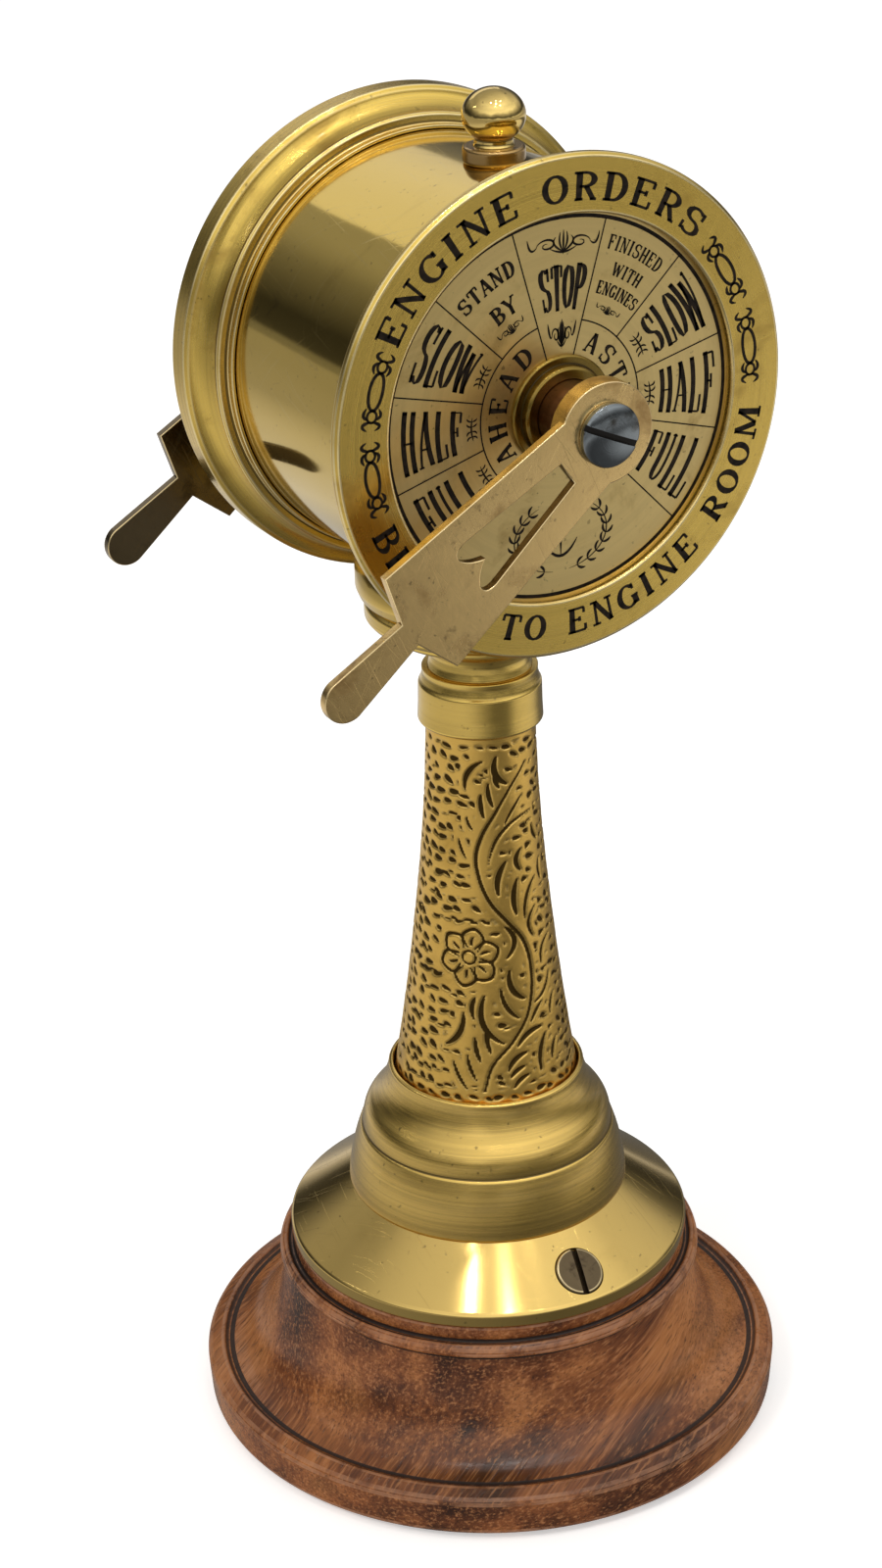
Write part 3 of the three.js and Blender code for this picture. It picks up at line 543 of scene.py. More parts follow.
def wood_finish():
    """Rosewood: long dark streaks wander through a red-brown ground with orange
    figure, and fine dark pores run with the grain, under a rubbed sealer."""
    finish, tree, surface = new_finish("rubbed_rosewood", Specular_IOR_Level=0.45)
    place = object_space(tree)
    lie_of_grain = (0.12, -0.30, 0.42)

    def along_grain(length, width, **settings):
        stretched = drawn_out(tree, place, lie_of_grain, (length, width, width * 0.8))
        return noise_over(tree, stretched, Scale=1.0, **settings)

    waver = along_grain(0.11, 0.013, Detail=6.0, Roughness=0.6, Distortion=0.6)
    figure = along_grain(0.14, 0.045, Detail=3.0, Roughness=0.55, Distortion=0.4)
    fibre = along_grain(0.0180, 0.00085, Detail=3.0, Roughness=0.6)
    pores = step_up(tree, along_grain(0.0060, 0.00055, Detail=1.0), 0.60, 0.72, 0.0, 0.5)
    streaks = ramp_of(
        tree, waver,
        (0.34, (0.016, 0.0050, 0.0024)), (0.44, (0.090, 0.0260, 0.0080)),
        (0.53, (0.205, 0.0640, 0.0175)), (0.66, (0.420, 0.1550, 0.0420)),
    )
    warm = ramp_of(
        tree, figure,
        (0.36, (0.034, 0.010, 0.004)), (0.50, (0.200, 0.062, 0.017)), (0.62, (0.43, 0.165, 0.045)),
    )
    wear = place_group(tree, edge_wear, Breakup=0.95)
    scuffed = times(tree, wear["Bright"], 0.6)
    ground = blend_colours(
        tree, streaks,
        (step_up(tree, figure, 0.35, 0.65, 0.30, 0.62), warm),
        (step_up(tree, fibre, 0.50, 0.70, 0.0, 0.5), (0.50, 0.215, 0.080)),
        (step_up(tree, fibre, 0.50, 0.30, 0.0, 0.45), (0.020, 0.007, 0.004)),
        (pores, (0.010, 0.004, 0.003)),
        (scuffed, (0.38, 0.180, 0.090)),
        # Near black in the hollows of the turning: dirt, and painted shade in the grooves.
        (times(tree, wear["DirtAndShade"], 0.95), (0.008, 0.004, 0.003)),
    )
    rough = build_up(tree, 0.12, (waver, 0.20), (wear["DirtAndShade"], 0.35), (scuffed, 0.25))
    relief = build_up(tree, times(tree, pores, -1.0), (fibre, 0.55))
    cover(tree, surface, ground, relief, 0.00012, rough, strength=0.7)
    return finish


rosewood = wood_finish()
wooden_foot = turned(
    "turned_wooden_foot",
    [
        [3.5, 11], [12, 11], [12, 1.5], [74, 1.5], [75.2, 2.7], [75.8, 11.6], [75.2, 12.6],
        [71.6, 14.2], [70.8, 13.4], [69.4, 13],
        *bend([67, 13.8], [56.6, 17.2], [53.3, 40.2], 14),
        [54.6, 40.6], [55.4, 41.6], [55, 43], [53.6, 44], [52.7, 43.2], [51.6, 43.4],
        [51.4, 47.5], [3.5, 47.5],
    ],
    rosewood, ease=0.7, segments=256,
)
stands_for(wooden_foot, "stand", "base_wood", "wooden_base")


# ---- Brass flange and its two screws -----------------------------------------------
# A cast brass flange, turned to a shallow cone with the tool lines left in its satin
# face. Two countersunk bronze screws, front and rear, hold it to the wood.

def scaled(tree, vector, factor):
    node = node_in(tree, "VectorMath", operation="SCALE", Scale=factor)
    wire(tree, (vector, node.inputs[0]))
    return node.outputs[0]


def tool_marks_group():
    """Fine rings left by the turning tool: noise read by the distance from the axis
    and the place along it, with only a little of the place itself, so that each ring
    runs almost true round the piece. Also gives broad soft rings."""
    group, given, made = new_group("tool_marks", [("Fineness", 9.0)], ["Rings", "Bands"])
    turning = kept_turning(group)
    flat = node_in(group, "CombineXYZ")
    whole = node_in(group, "VectorMath", operation="ADD")
    for axis in "XY":
        wire(group, (times(group, turning[axis], given["Fineness"]), flat.inputs[axis]))
    drift = scaled(group, object_space(group), 30)
    wire(group, (flat.outputs[0], whole.inputs[0]), (drift, whole.inputs[1]))
    fine = noise_over(group, whole.outputs[0], Scale=1, Detail=3)
    bands = noise_over(group, scaled(group, whole.outputs[0], 0.09), Scale=1)
    wire(group, (fine, made["Rings"]), (bands, made["Bands"]))
    return group


def tarnish_group():
    """Cloudy brown tarnish over the metal, and small dark specks in it."""
    group, given, made = new_group(
        "tarnish", [("Size", 40.0), ("Cover", 0.5)], ["Clouds", "Specks"]
    )
    place = object_space(group)
    clouds = noise_over(
        group, place, Scale=40.0, Detail=6, Roughness=0.62, Distortion=0.5)
    size = clouds.node.inputs["Scale"]
    low = sum_up(group, "SUBTRACT", 0.78, times(group, given["Cover"], 0.5))
    cloudy = step_up(group, clouds, low, sum_up(group, "ADD", low, 0.24))
    spots = step_up(group, noise_over(group, place, Scale=620, Detail=2), 0.68, 0.76)
    wire(
        group, (given["Size"], size), (cloudy, made["Clouds"]),
        (times(group, spots, clouds), made["Specks"]),
    )
    return group


def hairlines_group():
    """Hair-fine polishing scratches: noise drawn out into flat sheets that cut the
    surface in short straight lines, kept only where it peaks, in three directions."""
    group, given, made = new_group("hairlines", [("Few", 0.70)], ["Scratches"])
    place = object_space(group)
    sheet = (0.020, 0.030, 0.00022)
    high = sum_up(group, "ADD", given["Few"], 0.10)
    found = [
        step_up(
            group, noise_over(group, drawn_out(group, place, turn, sheet), Scale=1, Detail=1),
            given["Few"], high,
        )
        for turn in ((0.35, 0.9, 0.2), (1.2, 0.25, 2.0), (0.6, 2.2, 1.0))
    ]
    two = sum_up(group, "MAXIMUM", found[0], found[1])
    wire(group, (sum_up(group, "MAXIMUM", two, found[2]), made["Scratches"]))
    return group


tool_marks = tool_marks_group()
tarnish = tarnish_group()
hairlines = hairlines_group()


LACQUER = {"Coat_Weight": 0.30, "Coat_Roughness": 0.09}


def metal_finish(
    name, bright, aged, rough, cover_share=0.45, cloud_size=42.0, fineness=9.0, rings=0.3,
    ring_depth=0.5, scratches=0.2, edge=0.6, dirt=0.8, edge_colour=None,
    dark=(0.030, 0.018, 0.007),
):
    """Aged metal: bright metal dulled by cloudy tarnish, with tool rings, hairline
    scratches, edges rubbed bright and the hollows darkened, as dirt and as painted shade,
    under thin lacquer."""
    finish, tree, surface = new_finish(name, Metallic=1.0, **LACQUER)
    deeper = tuple(c * 0.72 for c in bright)
    edge_colour = edge_colour or tuple(min(c * 1.35, 1) for c in bright)
    marks = place_group(tree, tool_marks, Fineness=fineness)
    age = place_group(tree, tarnish, Size=cloud_size, Cover=cover_share)
    hairs = place_group(tree, hairlines)
    wear = place_group(tree, edge_wear, Breakup=0.4)
    # The hollows go dark: dirt, and painted shade where shadow falls in slots and corners.
    filled = times(tree, wear["DirtAndShade"], dirt)
    toned = blend_colours(
        tree, bright,
        (age["Clouds"], aged),
        (step_up(tree, marks["Bands"], 0.40, 0.66, 0.0, rings), deeper),
        (times(tree, age["Specks"], 0.8, clamp=True), dark),
        (times(tree, wear["Bright"], edge), edge_colour),
        (filled, dark),
    )
    roughness = build_up(tree, rough, (age["Clouds"], 0.14), (marks["Rings"], rings * 0.22))
    roughness = sum_up(tree, "MULTIPLY_ADD", filled, 0.3, roughness, clamp=True)
    height = build_up(
        tree, times(tree, marks["Rings"], ring_depth), (hairs["Scratches"], -scratches))
    cover(tree, surface, toned, height, 0.00003, roughness)
    return finish


satin_brass = metal_finish(
    "satin_turned_brass", (0.72, 0.495, 0.135), (0.50, 0.325, 0.075), 0.17,
    cover_share=0.35, rings=0.55, ring_depth=0.9,
)
cast_brass = metal_finish(
    "satin_cast_brass", (0.72, 0.505, 0.155), (0.52, 0.350, 0.095), 0.11,
    cover_share=0.42, cloud_size=26, rings=0.25, ring_depth=0.5, scratches=0.5,
)
CONE_FOOT, CONE_TOP = (52, 51.3), (36.2, 62.7)
SCREW_TILT = math.atan2(CONE_TOP[1] - CONE_FOOT[1], CONE_FOOT[0] - CONE_TOP[0])
SCREW_CIRCLE = 45.4


def on_cone(points, side):
    """Carries a piece made upright at the origin out to the screw circle, tipped to
    stand square on the flange's cone, to the front with side 1 and rear with -1."""
    c, s = math.cos(side * SCREW_TILT), math.sin(side * SCREW_TILT)
    x, y, z = points.T
    height = CONE_FOOT[1] + (CONE_FOOT[0] - SCREW_CIRCLE) * math.tan(SCREW_TILT)
    return np.stack([x, y * c - z * s - side * SCREW_CIRCLE, y * s + z * c + height], -1)


def true_flats(piece, sharp):
    """Keeps flat faces looking flat beside their rounded edges: normals are weighed
    by the area of the faces, and break at edges sharper than the angle."""
    piece.data.shade_smooth()
    piece.data.set_sharp_from_angle(angle=math.radians(sharp))
    weighed = piece.modifiers.new("true_flats", "WEIGHTED_NORMAL")
    weighed.keep_sharp = True
    weighed.weight = 100


def move_points(piece, carry, *given):
    """Moves a piece's points, in millimetres, by a function of the whole array."""
    points = carry(points_of(piece.data), *given)
    piece.data.vertices.foreach_set("co", (points * MM).ravel())
    piece.data.update()


def swung(flat, turn):
    """A flat shape, or the plan of a solid one, turned about the origin."""
    c, s = math.cos(turn), math.sin(turn)
    x, y = flat[:, 0], flat[:, 1]
    return np.column_stack([x * c - y * s, x * s + y * c, flat[:, 2:]])


def block(name, half_x, half_y, low, high):
    """A plain cutter in the form of a bar, used up by a cut."""
    x, y = half_x, half_y
    corners = [
        (-x, -y, low), (x, -y, low), (x, y, low), (-x, y, low),
        (-x, -y, high), (x, -y, high), (x, y, high), (-x, y, high),
    ]
    faces = [(3, 2, 1, 0), (4, 5, 6, 7), (0, 1, 5, 4), (1, 2, 6, 5), (2, 3, 7, 6), (3, 0, 4, 7)]
    return mesh_piece(name, corners, faces, satin_brass, smooth=False)


def as_modified(piece):
    """The piece as its modifiers leave it."""
    bpy.context.view_layer.update()
    return piece.evaluated_get(bpy.context.evaluated_depsgraph_get())


def cut_away(piece, cutter, edge_ease=0.0):
    """Cuts the cutter's shape out of the piece, breaks the new edges, and removes
    the cutter."""
    cut = piece.modifiers.new("cut", "BOOLEAN")
    cut.operation = "DIFFERENCE"
    cut.solver = "EXACT"
    cut.object = cutter
    if edge_ease:
        broken = piece.modifiers.new("broken_edges", "BEVEL")
        broken.width = edge_ease * MM
        broken.segments = 3
        broken.limit_method = "ANGLE"
        broken.angle_limit = math.radians(40)
    shape = bpy.data.meshes.new_from_object(as_modified(piece))
    piece.modifiers.clear()
    old = piece.data
    piece.data = shape
    bpy.data.meshes.remove(old)
    bpy.data.objects.remove(cutter)
    return piece


def saw_slot(screw, turn, half_width, floor, top, edge_ease):
    """Saws a driver's slot across a screw's head and marks its floor as a hollow, so
    that it is darkened, as dirt and as painted shade down in the slot. The mark runs
    out up the walls to their bright edges. The slot's narrow way is at an angle of turn
    to X."""
    bar = block("slot_cutter", half_width, 12, floor, top)
    move_points(bar, swung, turn)
    cut_away(screw, bar, edge_ease)
    true_flats(screw, 50)
    x, y, z = points_of(screw.data).T
    near = 0.02
    across = abs(x * math.cos(turn) + y * math.sin(turn))
    low = (abs(z - floor) < near) & (across < half_width + near)
    marks = np.empty(len(low) * 3)
    turning = screw.data.attributes["turning"].data
    turning.foreach_get("vector", marks)
    # The slot's floor is marked as a hollow, so that it is painted dark, as dirt and as the shade
    # in the slot.
    marks.reshape(-1, 3)[low, 2] = -1
    turning.foreach_set("vector", marks)


flange = turned(
    "brass_flange",
    [
        [47.5, 47.6], [51.6, 47.6], [52, 48.1], [52, 50.9], [51.5, 51.6], [35.6, 62.7],
        [3.2, 62.7], [3.2, 59.7], [34.6, 59.7], [47.5, 51.2],
    ],
    cast_brass, ease=0.3, segments=256,
)
for side in (1, -1):
    seat = turned(
        "seat", [[0, -12], [3.2, -12], [3.2, -3.4], [6.45, -1.2], [6.45, 3], [0, 3]],
        cast_brass, ease=0.01, segments=96,
    )
    move_points(seat, on_cone, side)
    cut_away(flange, seat)
true_flats(flange, 50)
stands_for(flange, "stand", "satin_brass", "base_flange")

dark_bronze = metal_finish(
    "dark_bronze_screw", (0.115, 0.082, 0.042), (0.045, 0.030, 0.016), 0.28,
    cover_share=0.55, cloud_size=300, fineness=4.0, rings=0.3, edge=1.0, dirt=1.0,
    edge_colour=(0.62, 0.50, 0.28),
)
for side, where in ((1, "front"), (-1, "rear")):
    screw = turned(
        f"flange_screw_{where}_head",
        [
            [0, -20], [1.9, -17.5], [2, -4.2], [2.6, -3.6], [6, -1.3], [6.2, -0.9], [6.2, -0.1],
            [5.9, 0.25], [0, 0.45],
        ],
        dark_bronze, ease=0.25, segments=96,
    )
    saw_slot(screw, turn=-0.18, half_width=0.75, floor=-1.3, top=3, edge_ease=0.14)
    move_points(screw, on_cone, side)
    stands_for(screw, "stand", "bronze_screw", f"flange_screw_{where}")


# ---- Pedestal ring -----------------------------------------------------------------
# A turned brass ring in two steps, with a narrow bead at the top that the column
# stands in. It is spun bright, then left satin.

pedestal = turned(
    "pedestal_ring_turned",
    [
        [28, 62.7], [35.9, 62.7],
        *bend([36.2, 63.1], [35.6, 71], [32.9, 78.2], 8), [32.3, 78.8],
        *bend([32.3, 79.4], [32.1, 83.6], [29.4, 86.2], 6),
        *bend([28.6, 87.2], [26.2, 90.4], [25.3, 94.6], 7),
        [25.1, 96], [24.25, 96.5], [23.85, 96.2], [23.85, 93], [20.5, 93], [20.5, 89], [28, 80],
    ],
    satin_brass, ease=0.4, segments=256,
)
stands_for(pedestal, "stand", "satin_brass", "pedestal_ring")


# ---- Chased column -----------------------------------------------------------------
# A hollow cast column that narrows upward like a trumpet. Its surface is chased by
# hand: rows of small punched cuts all round, and up the front a curling stem with
# leaves and one flower. The cuts have gone dark with old polish.

COLUMN_FOOT, COLUMN_NECK = 93, 192.5


def column_radius(height):
    """Radius of the column: 13.6 at the neck, opening by the power 1.6 of how far
    down it is, to 23.7 at the foot."""
    down = np.maximum(1 - (height - COLUMN_FOOT) / (COLUMN_NECK - COLUMN_FOOT), 0)
    return 13.6 + 10.1 * down ** 1.6


def punched_cuts(across, up, around):
    """Depth of the punched cuts. The surface is laid out in rows 3.1 mm apart, each
    with cells about 3.7 mm long, every other row set back half a cell. Each cell holds
    one slanting cut, a stretched oval that is pointed at one end, shifted and turned
    a little by numbers drawn for the cell."""
    drawn = np.random.default_rng(7).random((5, 64, 64))
    row_height = 3.1
    row = np.floor(up / row_height).astype(int)
    depth = np.zeros_like(up)
    for step in (-1, 0, 1):
        near = row + step
        count = np.maximum(np.round(around / 3.7), 8).astype(int)
        cell = across * count + 0.5 * (near % 2)
        column = np.floor(cell)
        for side in (-1, 0, 1):
            which = (column + side) % count
            pick = (near % 64, which.astype(int) % 64)
            along = (cell - (column + side) - 0.5 + 0.5 * (drawn[0][pick] - 0.5)) * around / count
            rise = up - (near + 0.5 + 0.45 * (drawn[1][pick] - 0.5)) * row_height
            slant = 0.25 + 0.9 * (drawn[2][pick] - 0.5)
            u = along * np.cos(slant) - rise * np.sin(slant)
            v = along * np.sin(slant) + rise * np.cos(slant)
            length = 1.12 + 0.60 * drawn[3][pick]
            width = 0.50 + 0.30 * drawn[4][pick]
            width = width * (1 - 0.42 * np.clip(u / length, -1, 1))
            away = np.sqrt((u / length) ** 2 + (v / width) ** 2)
            depth = np.maximum(depth, np.clip((1.25 - away) / 0.55, 0, 1))
    return depth


def curve_through(points, count=60):
    """A smooth line through the points: each coordinate is a cubic in the chord
    length between them, with the slope at a point taken from its two neighbours."""
    points = np.array(points, float)
    chord = np.concatenate([[0], np.cumsum(np.linalg.norm(np.diff(points, axis=0), axis=1))])
    slope = np.gradient(points, chord, axis=0)
    t = np.linspace(0, chord[-1], count)
    k = np.clip(np.searchsorted(chord, t, side="right") - 1, 0, len(chord) - 2)
    gap = (chord[k + 1] - chord[k])[:, None]
    s = (t - chord[k])[:, None] / gap
    start = (1 + 2 * s) * (1 - s) ** 2 * points[k] + s * (1 - s) ** 2 * gap * slope[k]
    return start + s ** 2 * (3 - 2 * s) * points[k + 1] + s ** 2 * (s - 1) * gap * slope[k + 1]


def chased_line(across, up, line, half_width, blunt=0.0):
    """Depth of a chased line: full on the line, easing out at its half width, which
    swells in the middle of its length and narrows to the ends."""
    depth = np.zeros_like(up)
    swell = np.sin(np.pi * np.linspace(0.04, 0.96, len(line))) ** 0.7
    swell = blunt + (1 - blunt) * swell
    low, high = line.min(0) - 1.5, line.max(0) + 1.5
    near = (across > low[0]) & (across < high[0]) & (up > low[1]) & (up < high[1])
    if near.any():
        gap_x = across[near][:, None] - line[None, :, 0]
        gap_y = up[near][:, None] - line[None, :, 1]
        away = np.sqrt(gap_x ** 2 + gap_y ** 2) / (half_width * swell)
        depth[near] = np.clip((1.3 - away.min(1)) / 0.6, 0, 1)
    return depth


def arc(cx, cy, rx, ry, start, end, count=24):
    """Points on an ellipse from one angle to another, in degrees."""
    t = np.radians(np.linspace(start, end, count))
    return np.stack([cx + rx * np.cos(t), cy + ry * np.sin(t)], -1)


def vine_lines():
    """The stem, leaves and flower, as lines in millimetres across the front and up
    the column, each with its half width."""
    stem = curve_through([
        [-2.1, 99.0], [0.0, 105.3], [5.9, 111.7], [10.2, 118.0], [11.7, 125.2], [11.4, 131.5],
        [9.3, 137.9], [5.1, 143.4], [0.8, 149.0], [-1.7, 155.3], [-2.4, 160.9], [-0.8, 166.5],
        [2.5, 172.0], [6.8, 178.4], [11.7, 183.9],
    ], 160)
    lines = [(stem, 0.52, 0.6)]
    leaves = [
        (-4.7, 178.8, -0.4, 186.1, 0.18, 0.62), (5.8, 179.8, 3.2, 187.1, 0.22, 0.85),
        (3.9, 179.0, 2.7, 183.0, 0.1, 0.6), (2.2, 174.2, 1.1, 180.1, 0.08, 0.62),
        (-0.2, 171.4, -0.8, 177.4, 0.05, 0.62), (-3.0, 168.2, -4.4, 171.4, 0.1, 0.4),
        (-5.0, 160.7, -6.7, 165.5, 0.05, 0.4), (5.1, 169.1, 10.3, 175.7, 0.04, 0.42),
        (0.8, 159.2, 13.1, 170.8, 0.2, 0.5), (3.0, 150.8, 5.1, 159.2, 0.12, 0.8),
        (9.2, 156.3, 9.5, 161.7, 0.25, 0.72), (7.8, 144.9, 8.1, 153.9, 0.1, 0.8),
        (10.3, 143.3, 13.9, 152.8, 0.12, 0.55), (12.9, 137.7, 13.6, 145.2, 0.25, 0.5),
        (15.7, 162.5, 13.6, 166.8, 0.1, 0.55), (15.4, 129.8, 18.8, 135.9, 0.2, 0.5),
        (16.9, 151.4, 16.3, 156.9, 0.1, 0.5), (4.8, 133.8, 4.5, 142.0, -0.28, 0.72),
        (9.2, 122.2, 5.3, 130.3, 0.18, 0.8), (7.4, 117.4, 2.9, 125.8, 0.12, 0.6),
        (3.1, 111.4, -1.4, 124.1, 0.22, 0.8), (-4.2, 118.2, -3.7, 123.8, 0.12, 0.62),
        (-11.7, 110.7, -6.9, 119.6, -0.15, 0.72), (-0.3, 109.2, -1.0, 115.7, 0.06, 0.62),
        (-2.9, 106.8, -4.1, 113.1, 0.06, 0.62), (-4.2, 101.9, -6.3, 108.4, 0.06, 0.5),
        (-6.7, 99.5, -10.0, 106.3, 0.06, 0.5), (12.3, 120.3, 18.0, 126.4, -0.15, 0.5),
        (11.0, 115.5, 14.6, 119.8, 0.05, 0.5), (7.0, 110.0, 14.1, 113.4, 0.15, 0.72),
        (13.6, 102.0, 15.4, 111.1, 0.1, 0.72), (4.2, 103.9, 9.2, 107.9, 0.15, 0.72),
        (4.7, 102.0, 8.6, 104.4, 0.1, 0.6), (5.6, 99.3, 9.5, 101.9, 0.1, 0.62),
        (17.8, 115.7, 19.7, 120.4, 0.1, 0.5), (17.8, 103.8, 19.5, 108.5, 0.1, 0.6),
    ]
    for x, y, tip_x, tip_y, bow, half_width in leaves:
        base, tip = np.array([x, y]), np.array([tip_x, tip_y])
        run = tip - base
        belly = (base + tip) / 2 + 2 * bow * np.array([-run[1], run[0]])
        lines.append((np.array(bend(base, belly, tip, 24)), half_width, 0.25))
    flower = np.array([-4.9, 134.4])
    bloom = 1.38
    for k in range(6):
        angle = k * math.pi / 3 + 0.3
        out = np.array([math.cos(angle), math.sin(angle)])
        over = np.array([-out[1], out[0]])
        petal = curve_through([
            flower + bloom * (reach * out + aside * over)
            for reach, aside in ((1.9, -0.7), (3.8, -2.0), (5.6, 0), (3.8, 2.0), (1.9, 0.7))
        ], 44)
        near, far = flower + 3.2 * out, flower + 5.6 * out
        vein = np.array(bend(near, flower + 4.2 * out + 0.4 * over, far, 10))
        lines += [(petal, 0.42, 0.35), (vein, 0.38, 0.2)]
    lines.append((arc(*flower, 1.7, 1.7, 0, 360, 30), 0.30, 0.9))
    return lines


def chase_column(finish):
    """The column's skin is a fine grid: height up from the foot by angle round it.
    Each point is pushed in by the depth of the chasing there, and a slow unevenness
    is left by hand work. A plain inner wall closes it at the foot and the neck."""
    rows, columns = 318, 296
    front, middle_of_vine = math.radians(-112), 1.5
    deepest, wall = 0.42, 2.6
    height = np.linspace(COLUMN_FOOT, COLUMN_NECK, rows)[:, None] + np.zeros((1, columns))
    angle = np.linspace(0, 2 * np.pi, columns, endpoint=False)[None, :] + np.zeros((rows, 1))
    radius = column_radius(height)
    across = ((angle - front + np.pi) % (2 * np.pi) - np.pi) * radius
    depth = punched_cuts(
        (angle / (2 * np.pi)) % 1, height - COLUMN_FOOT + 0.6, 2 * np.pi * radius)
    clear = np.zeros_like(depth)
    vine = np.zeros_like(depth)
    for line, half_width, blunt in vine_lines():
        shifted = line - np.array([middle_of_vine, 0])
        vine = np.maximum(vine, chased_line(across, height, shifted, half_width, blunt))
        clear = np.maximum(clear, chased_line(across, height, shifted, half_width + 1.5, 0.9))
    depth = np.maximum(depth * (1 - np.clip(clear * 1.6, 0, 1)), vine)
    depth = depth * np.clip((height - COLUMN_FOOT - 2.5) / 1.5, 0, 1)
    depth = depth * np.clip((COLUMN_NECK - 1.5 - height) / 1.5, 0, 1)
    uneven = 0.05 * np.sin(angle * 9 + height * 0.21) * np.sin(height * 0.33 + angle * 5)
    pushed = radius - deepest * depth + uneven
    outside = np.stack([pushed * np.cos(angle), pushed * np.sin(angle), height], -1)
    inner_radius = np.array([radius[-1, 0] - wall, radius[0, 0] - wall])[:, None]
    inner_height = np.array([COLUMN_NECK, COLUMN_FOOT])[:, None]
    ring = angle[:2]
    inside = np.stack([
        inner_radius * np.cos(ring), inner_radius * np.sin(ring), inner_height + 0 * ring], -1)
    points = np.concatenate([outside, inside]).reshape(-1, 3)
    column = mesh_piece("chased_column", points, grid_faces(rows + 2, columns, True, True), finish)
    turning = np.zeros((rows + 2, columns, 3))
    turning[:rows, :, 0] = radius
    turning[:rows, :, 1] = height
    mark_turning(column, turning.reshape(-1, 3))
    chased = column.data.attributes.new("chasing", "FLOAT", "POINT")
    chased.data.foreach_set("value", np.concatenate([depth.ravel(), np.zeros(2 * columns)]))
    return column


def chased_finish():
    """Satin brass with brown old polish down in the cuts and a bright lip round each."""
    finish, tree, surface = new_finish("chased_brass", Metallic=1.0)
    cuts = node_in(tree, "Attribute", attribute_name="chasing").outputs["Fac"]
    age = place_group(tree, tarnish, Size=46.0, Cover=0.55)
    marks = place_group(tree, tool_marks, Fineness=7.0)
    lip = times(tree, step_up(tree, cuts, 0.02, 0.22), step_up(tree, cuts, 0.5, 0.2))
    packed = step_up(tree, cuts, 0.32, 0.72, 0.0, 0.93)
    toned = blend_colours(
        tree, (0.84, 0.535, 0.130),
        (age["Clouds"], (0.56, 0.345, 0.075)),
        (times(tree, lip, 0.5), (0.72, 0.55, 0.24)),
        (packed, (0.026, 0.014, 0.005)),
    )
    roughness = build_up(tree, 0.24, (marks["Rings"], 0.14), (packed, 0.35))
    cover(tree, surface, toned, times(tree, marks["Rings"], 0.7), 0.00003, roughness)
    return finish


chased_column = chase_column(chased_finish())
stands_for(chased_column, "stand", "satin_brass", "column")
column_neck = turned(
    "column_neck",
    [[11, 192.4], [13.6, 192.4], [13.6, 205], [11, 205]], satin_brass, ease=0.05,
)
stands_for(column_neck, "stand", "satin_brass")


# ---- Collar, stem and saddle under the drum -----------------------------------------
# Turned brass pieces threaded on the tie rod: a plain collar on the column's neck, a
# waisted stem that flares out, two rings, and the saddle, hollowed to the drum.

bright_brass = metal_finish(
    "polished_turned_brass", (0.74, 0.52, 0.130), (0.48, 0.31, 0.07), 0.15,
    cover_share=0.35, rings=0.4, ring_depth=0.5,
)
for name, corners, ease, node in (
    ("turned_collar", [
        [13.75, 192.5], [15, 192.5], [15.5, 193.1], [15.3, 197], [15.2, 202.4], [14.7, 203.2],
        [14.2, 205], [14.3, 206.6], [12, 206.6], [12, 205.1], [13.75, 205.1],
    ], 0.3, "column_collar"),
    ("waisted_stem", [
        [8, 206.6], [13, 206.6], [12.4, 208.4],
        *bend([12.2, 210], [12.6, 214.4], [19, 216.8], 8), [8, 216.8],
    ], 0.3, "saddle_stem"),
    ("saddle_ring_lower", [
        [8, 216.8], [22.9, 216.8], [23.7, 217.6], [23.7, 218.8], [22.9, 219.6], [8, 219.6],
    ], 0.5, "saddle_lower_ring"),
    ("saddle_ring_middle", [
        [8, 219.6], [26.8, 219.6], [27.8, 220.8], [27.8, 223.8], [26.8, 225], [8, 225],
    ], 0.5, "saddle_middle_ring"),
):
    ring = turned(name, corners, bright_brass, ease=ease)
    stands_for(ring, "stand", "polished_brass", node)
saddle = turned(
    "hollowed_saddle",
    [[4, 225], [26.8, 225], [28.8, 226.2], [29.8, 228.6], [29.8, 250], [4, 250]],
    bright_brass, ease=0.5,
)
for side, radius, low in ((1, 51.02, -60), (-1, 55.2, 22.7)):
    cutter = turned(
        "drum_cutter", [[0, low], [radius, low], [radius, 60], [0, 60]], bright_brass,
        ease=0.01, segments=256, side=side,
    )
    cut_away(saddle, cutter)
stands_for(saddle, "stand", "polished_brass", "drum_saddle")


# ---- Drum shell --------------------------------------------------------------------
# Sheet brass rolled to a tube, soldered along the bottom and mirror polished. The
# lacquer has yellowed to olive, with cloudy marks and fine scratches.

def drum_finish():
    """Polished brass under yellowed lacquer, with stains, specks and a slow ripple."""
    finish, tree, surface = new_finish(
        "mirror_drum_brass", Metallic=1.0, Coat_Weight=0.30, Coat_Roughness=0.06)
    place = object_space(tree)
    hairs = place_group(tree, hairlines, Few=0.675)["Scratches"]
    age = place_group(tree, tarnish, Size=24.0, Cover=0.42)
    stains = noise_over(tree, place, Scale=95.0, Detail=6.0, Roughness=0.7, Distortion=1.2)
    ripple = noise_over(tree, place, Scale=26.0, Detail=2.0)
    toned = blend_colours(
        tree, (0.66, 0.47, 0.105),
        (age["Clouds"], (0.50, 0.340, 0.065)),
        (step_up(tree, stains, 0.62, 0.74, 0.0, 0.55), (0.30, 0.20, 0.07)),
        (times(tree, age["Specks"], 0.7, clamp=True), (0.05, 0.03, 0.01)),
        (times(tree, hairs, 0.22), (0.80, 0.68, 0.38)),
    )
    roughness = build_up(tree, 0.080, (age["Clouds"], 0.12), (hairs, 0.12))
    height = build_up(tree, times(tree, hairs, -0.03), (ripple, 3.0))
    cover(tree, surface, toned, height, 0.00006, roughness)
    return finish


drum = turned(
    "rolled_drum_shell",
    [[49.8, -37.6], [51, -37.6], [51, 37.6], [49.8, 37.6]],
    drum_finish(), ease=0.1, segments=320, side=1,
)
stands_for(drum, "stand", "satin_brass", "drum_shell")


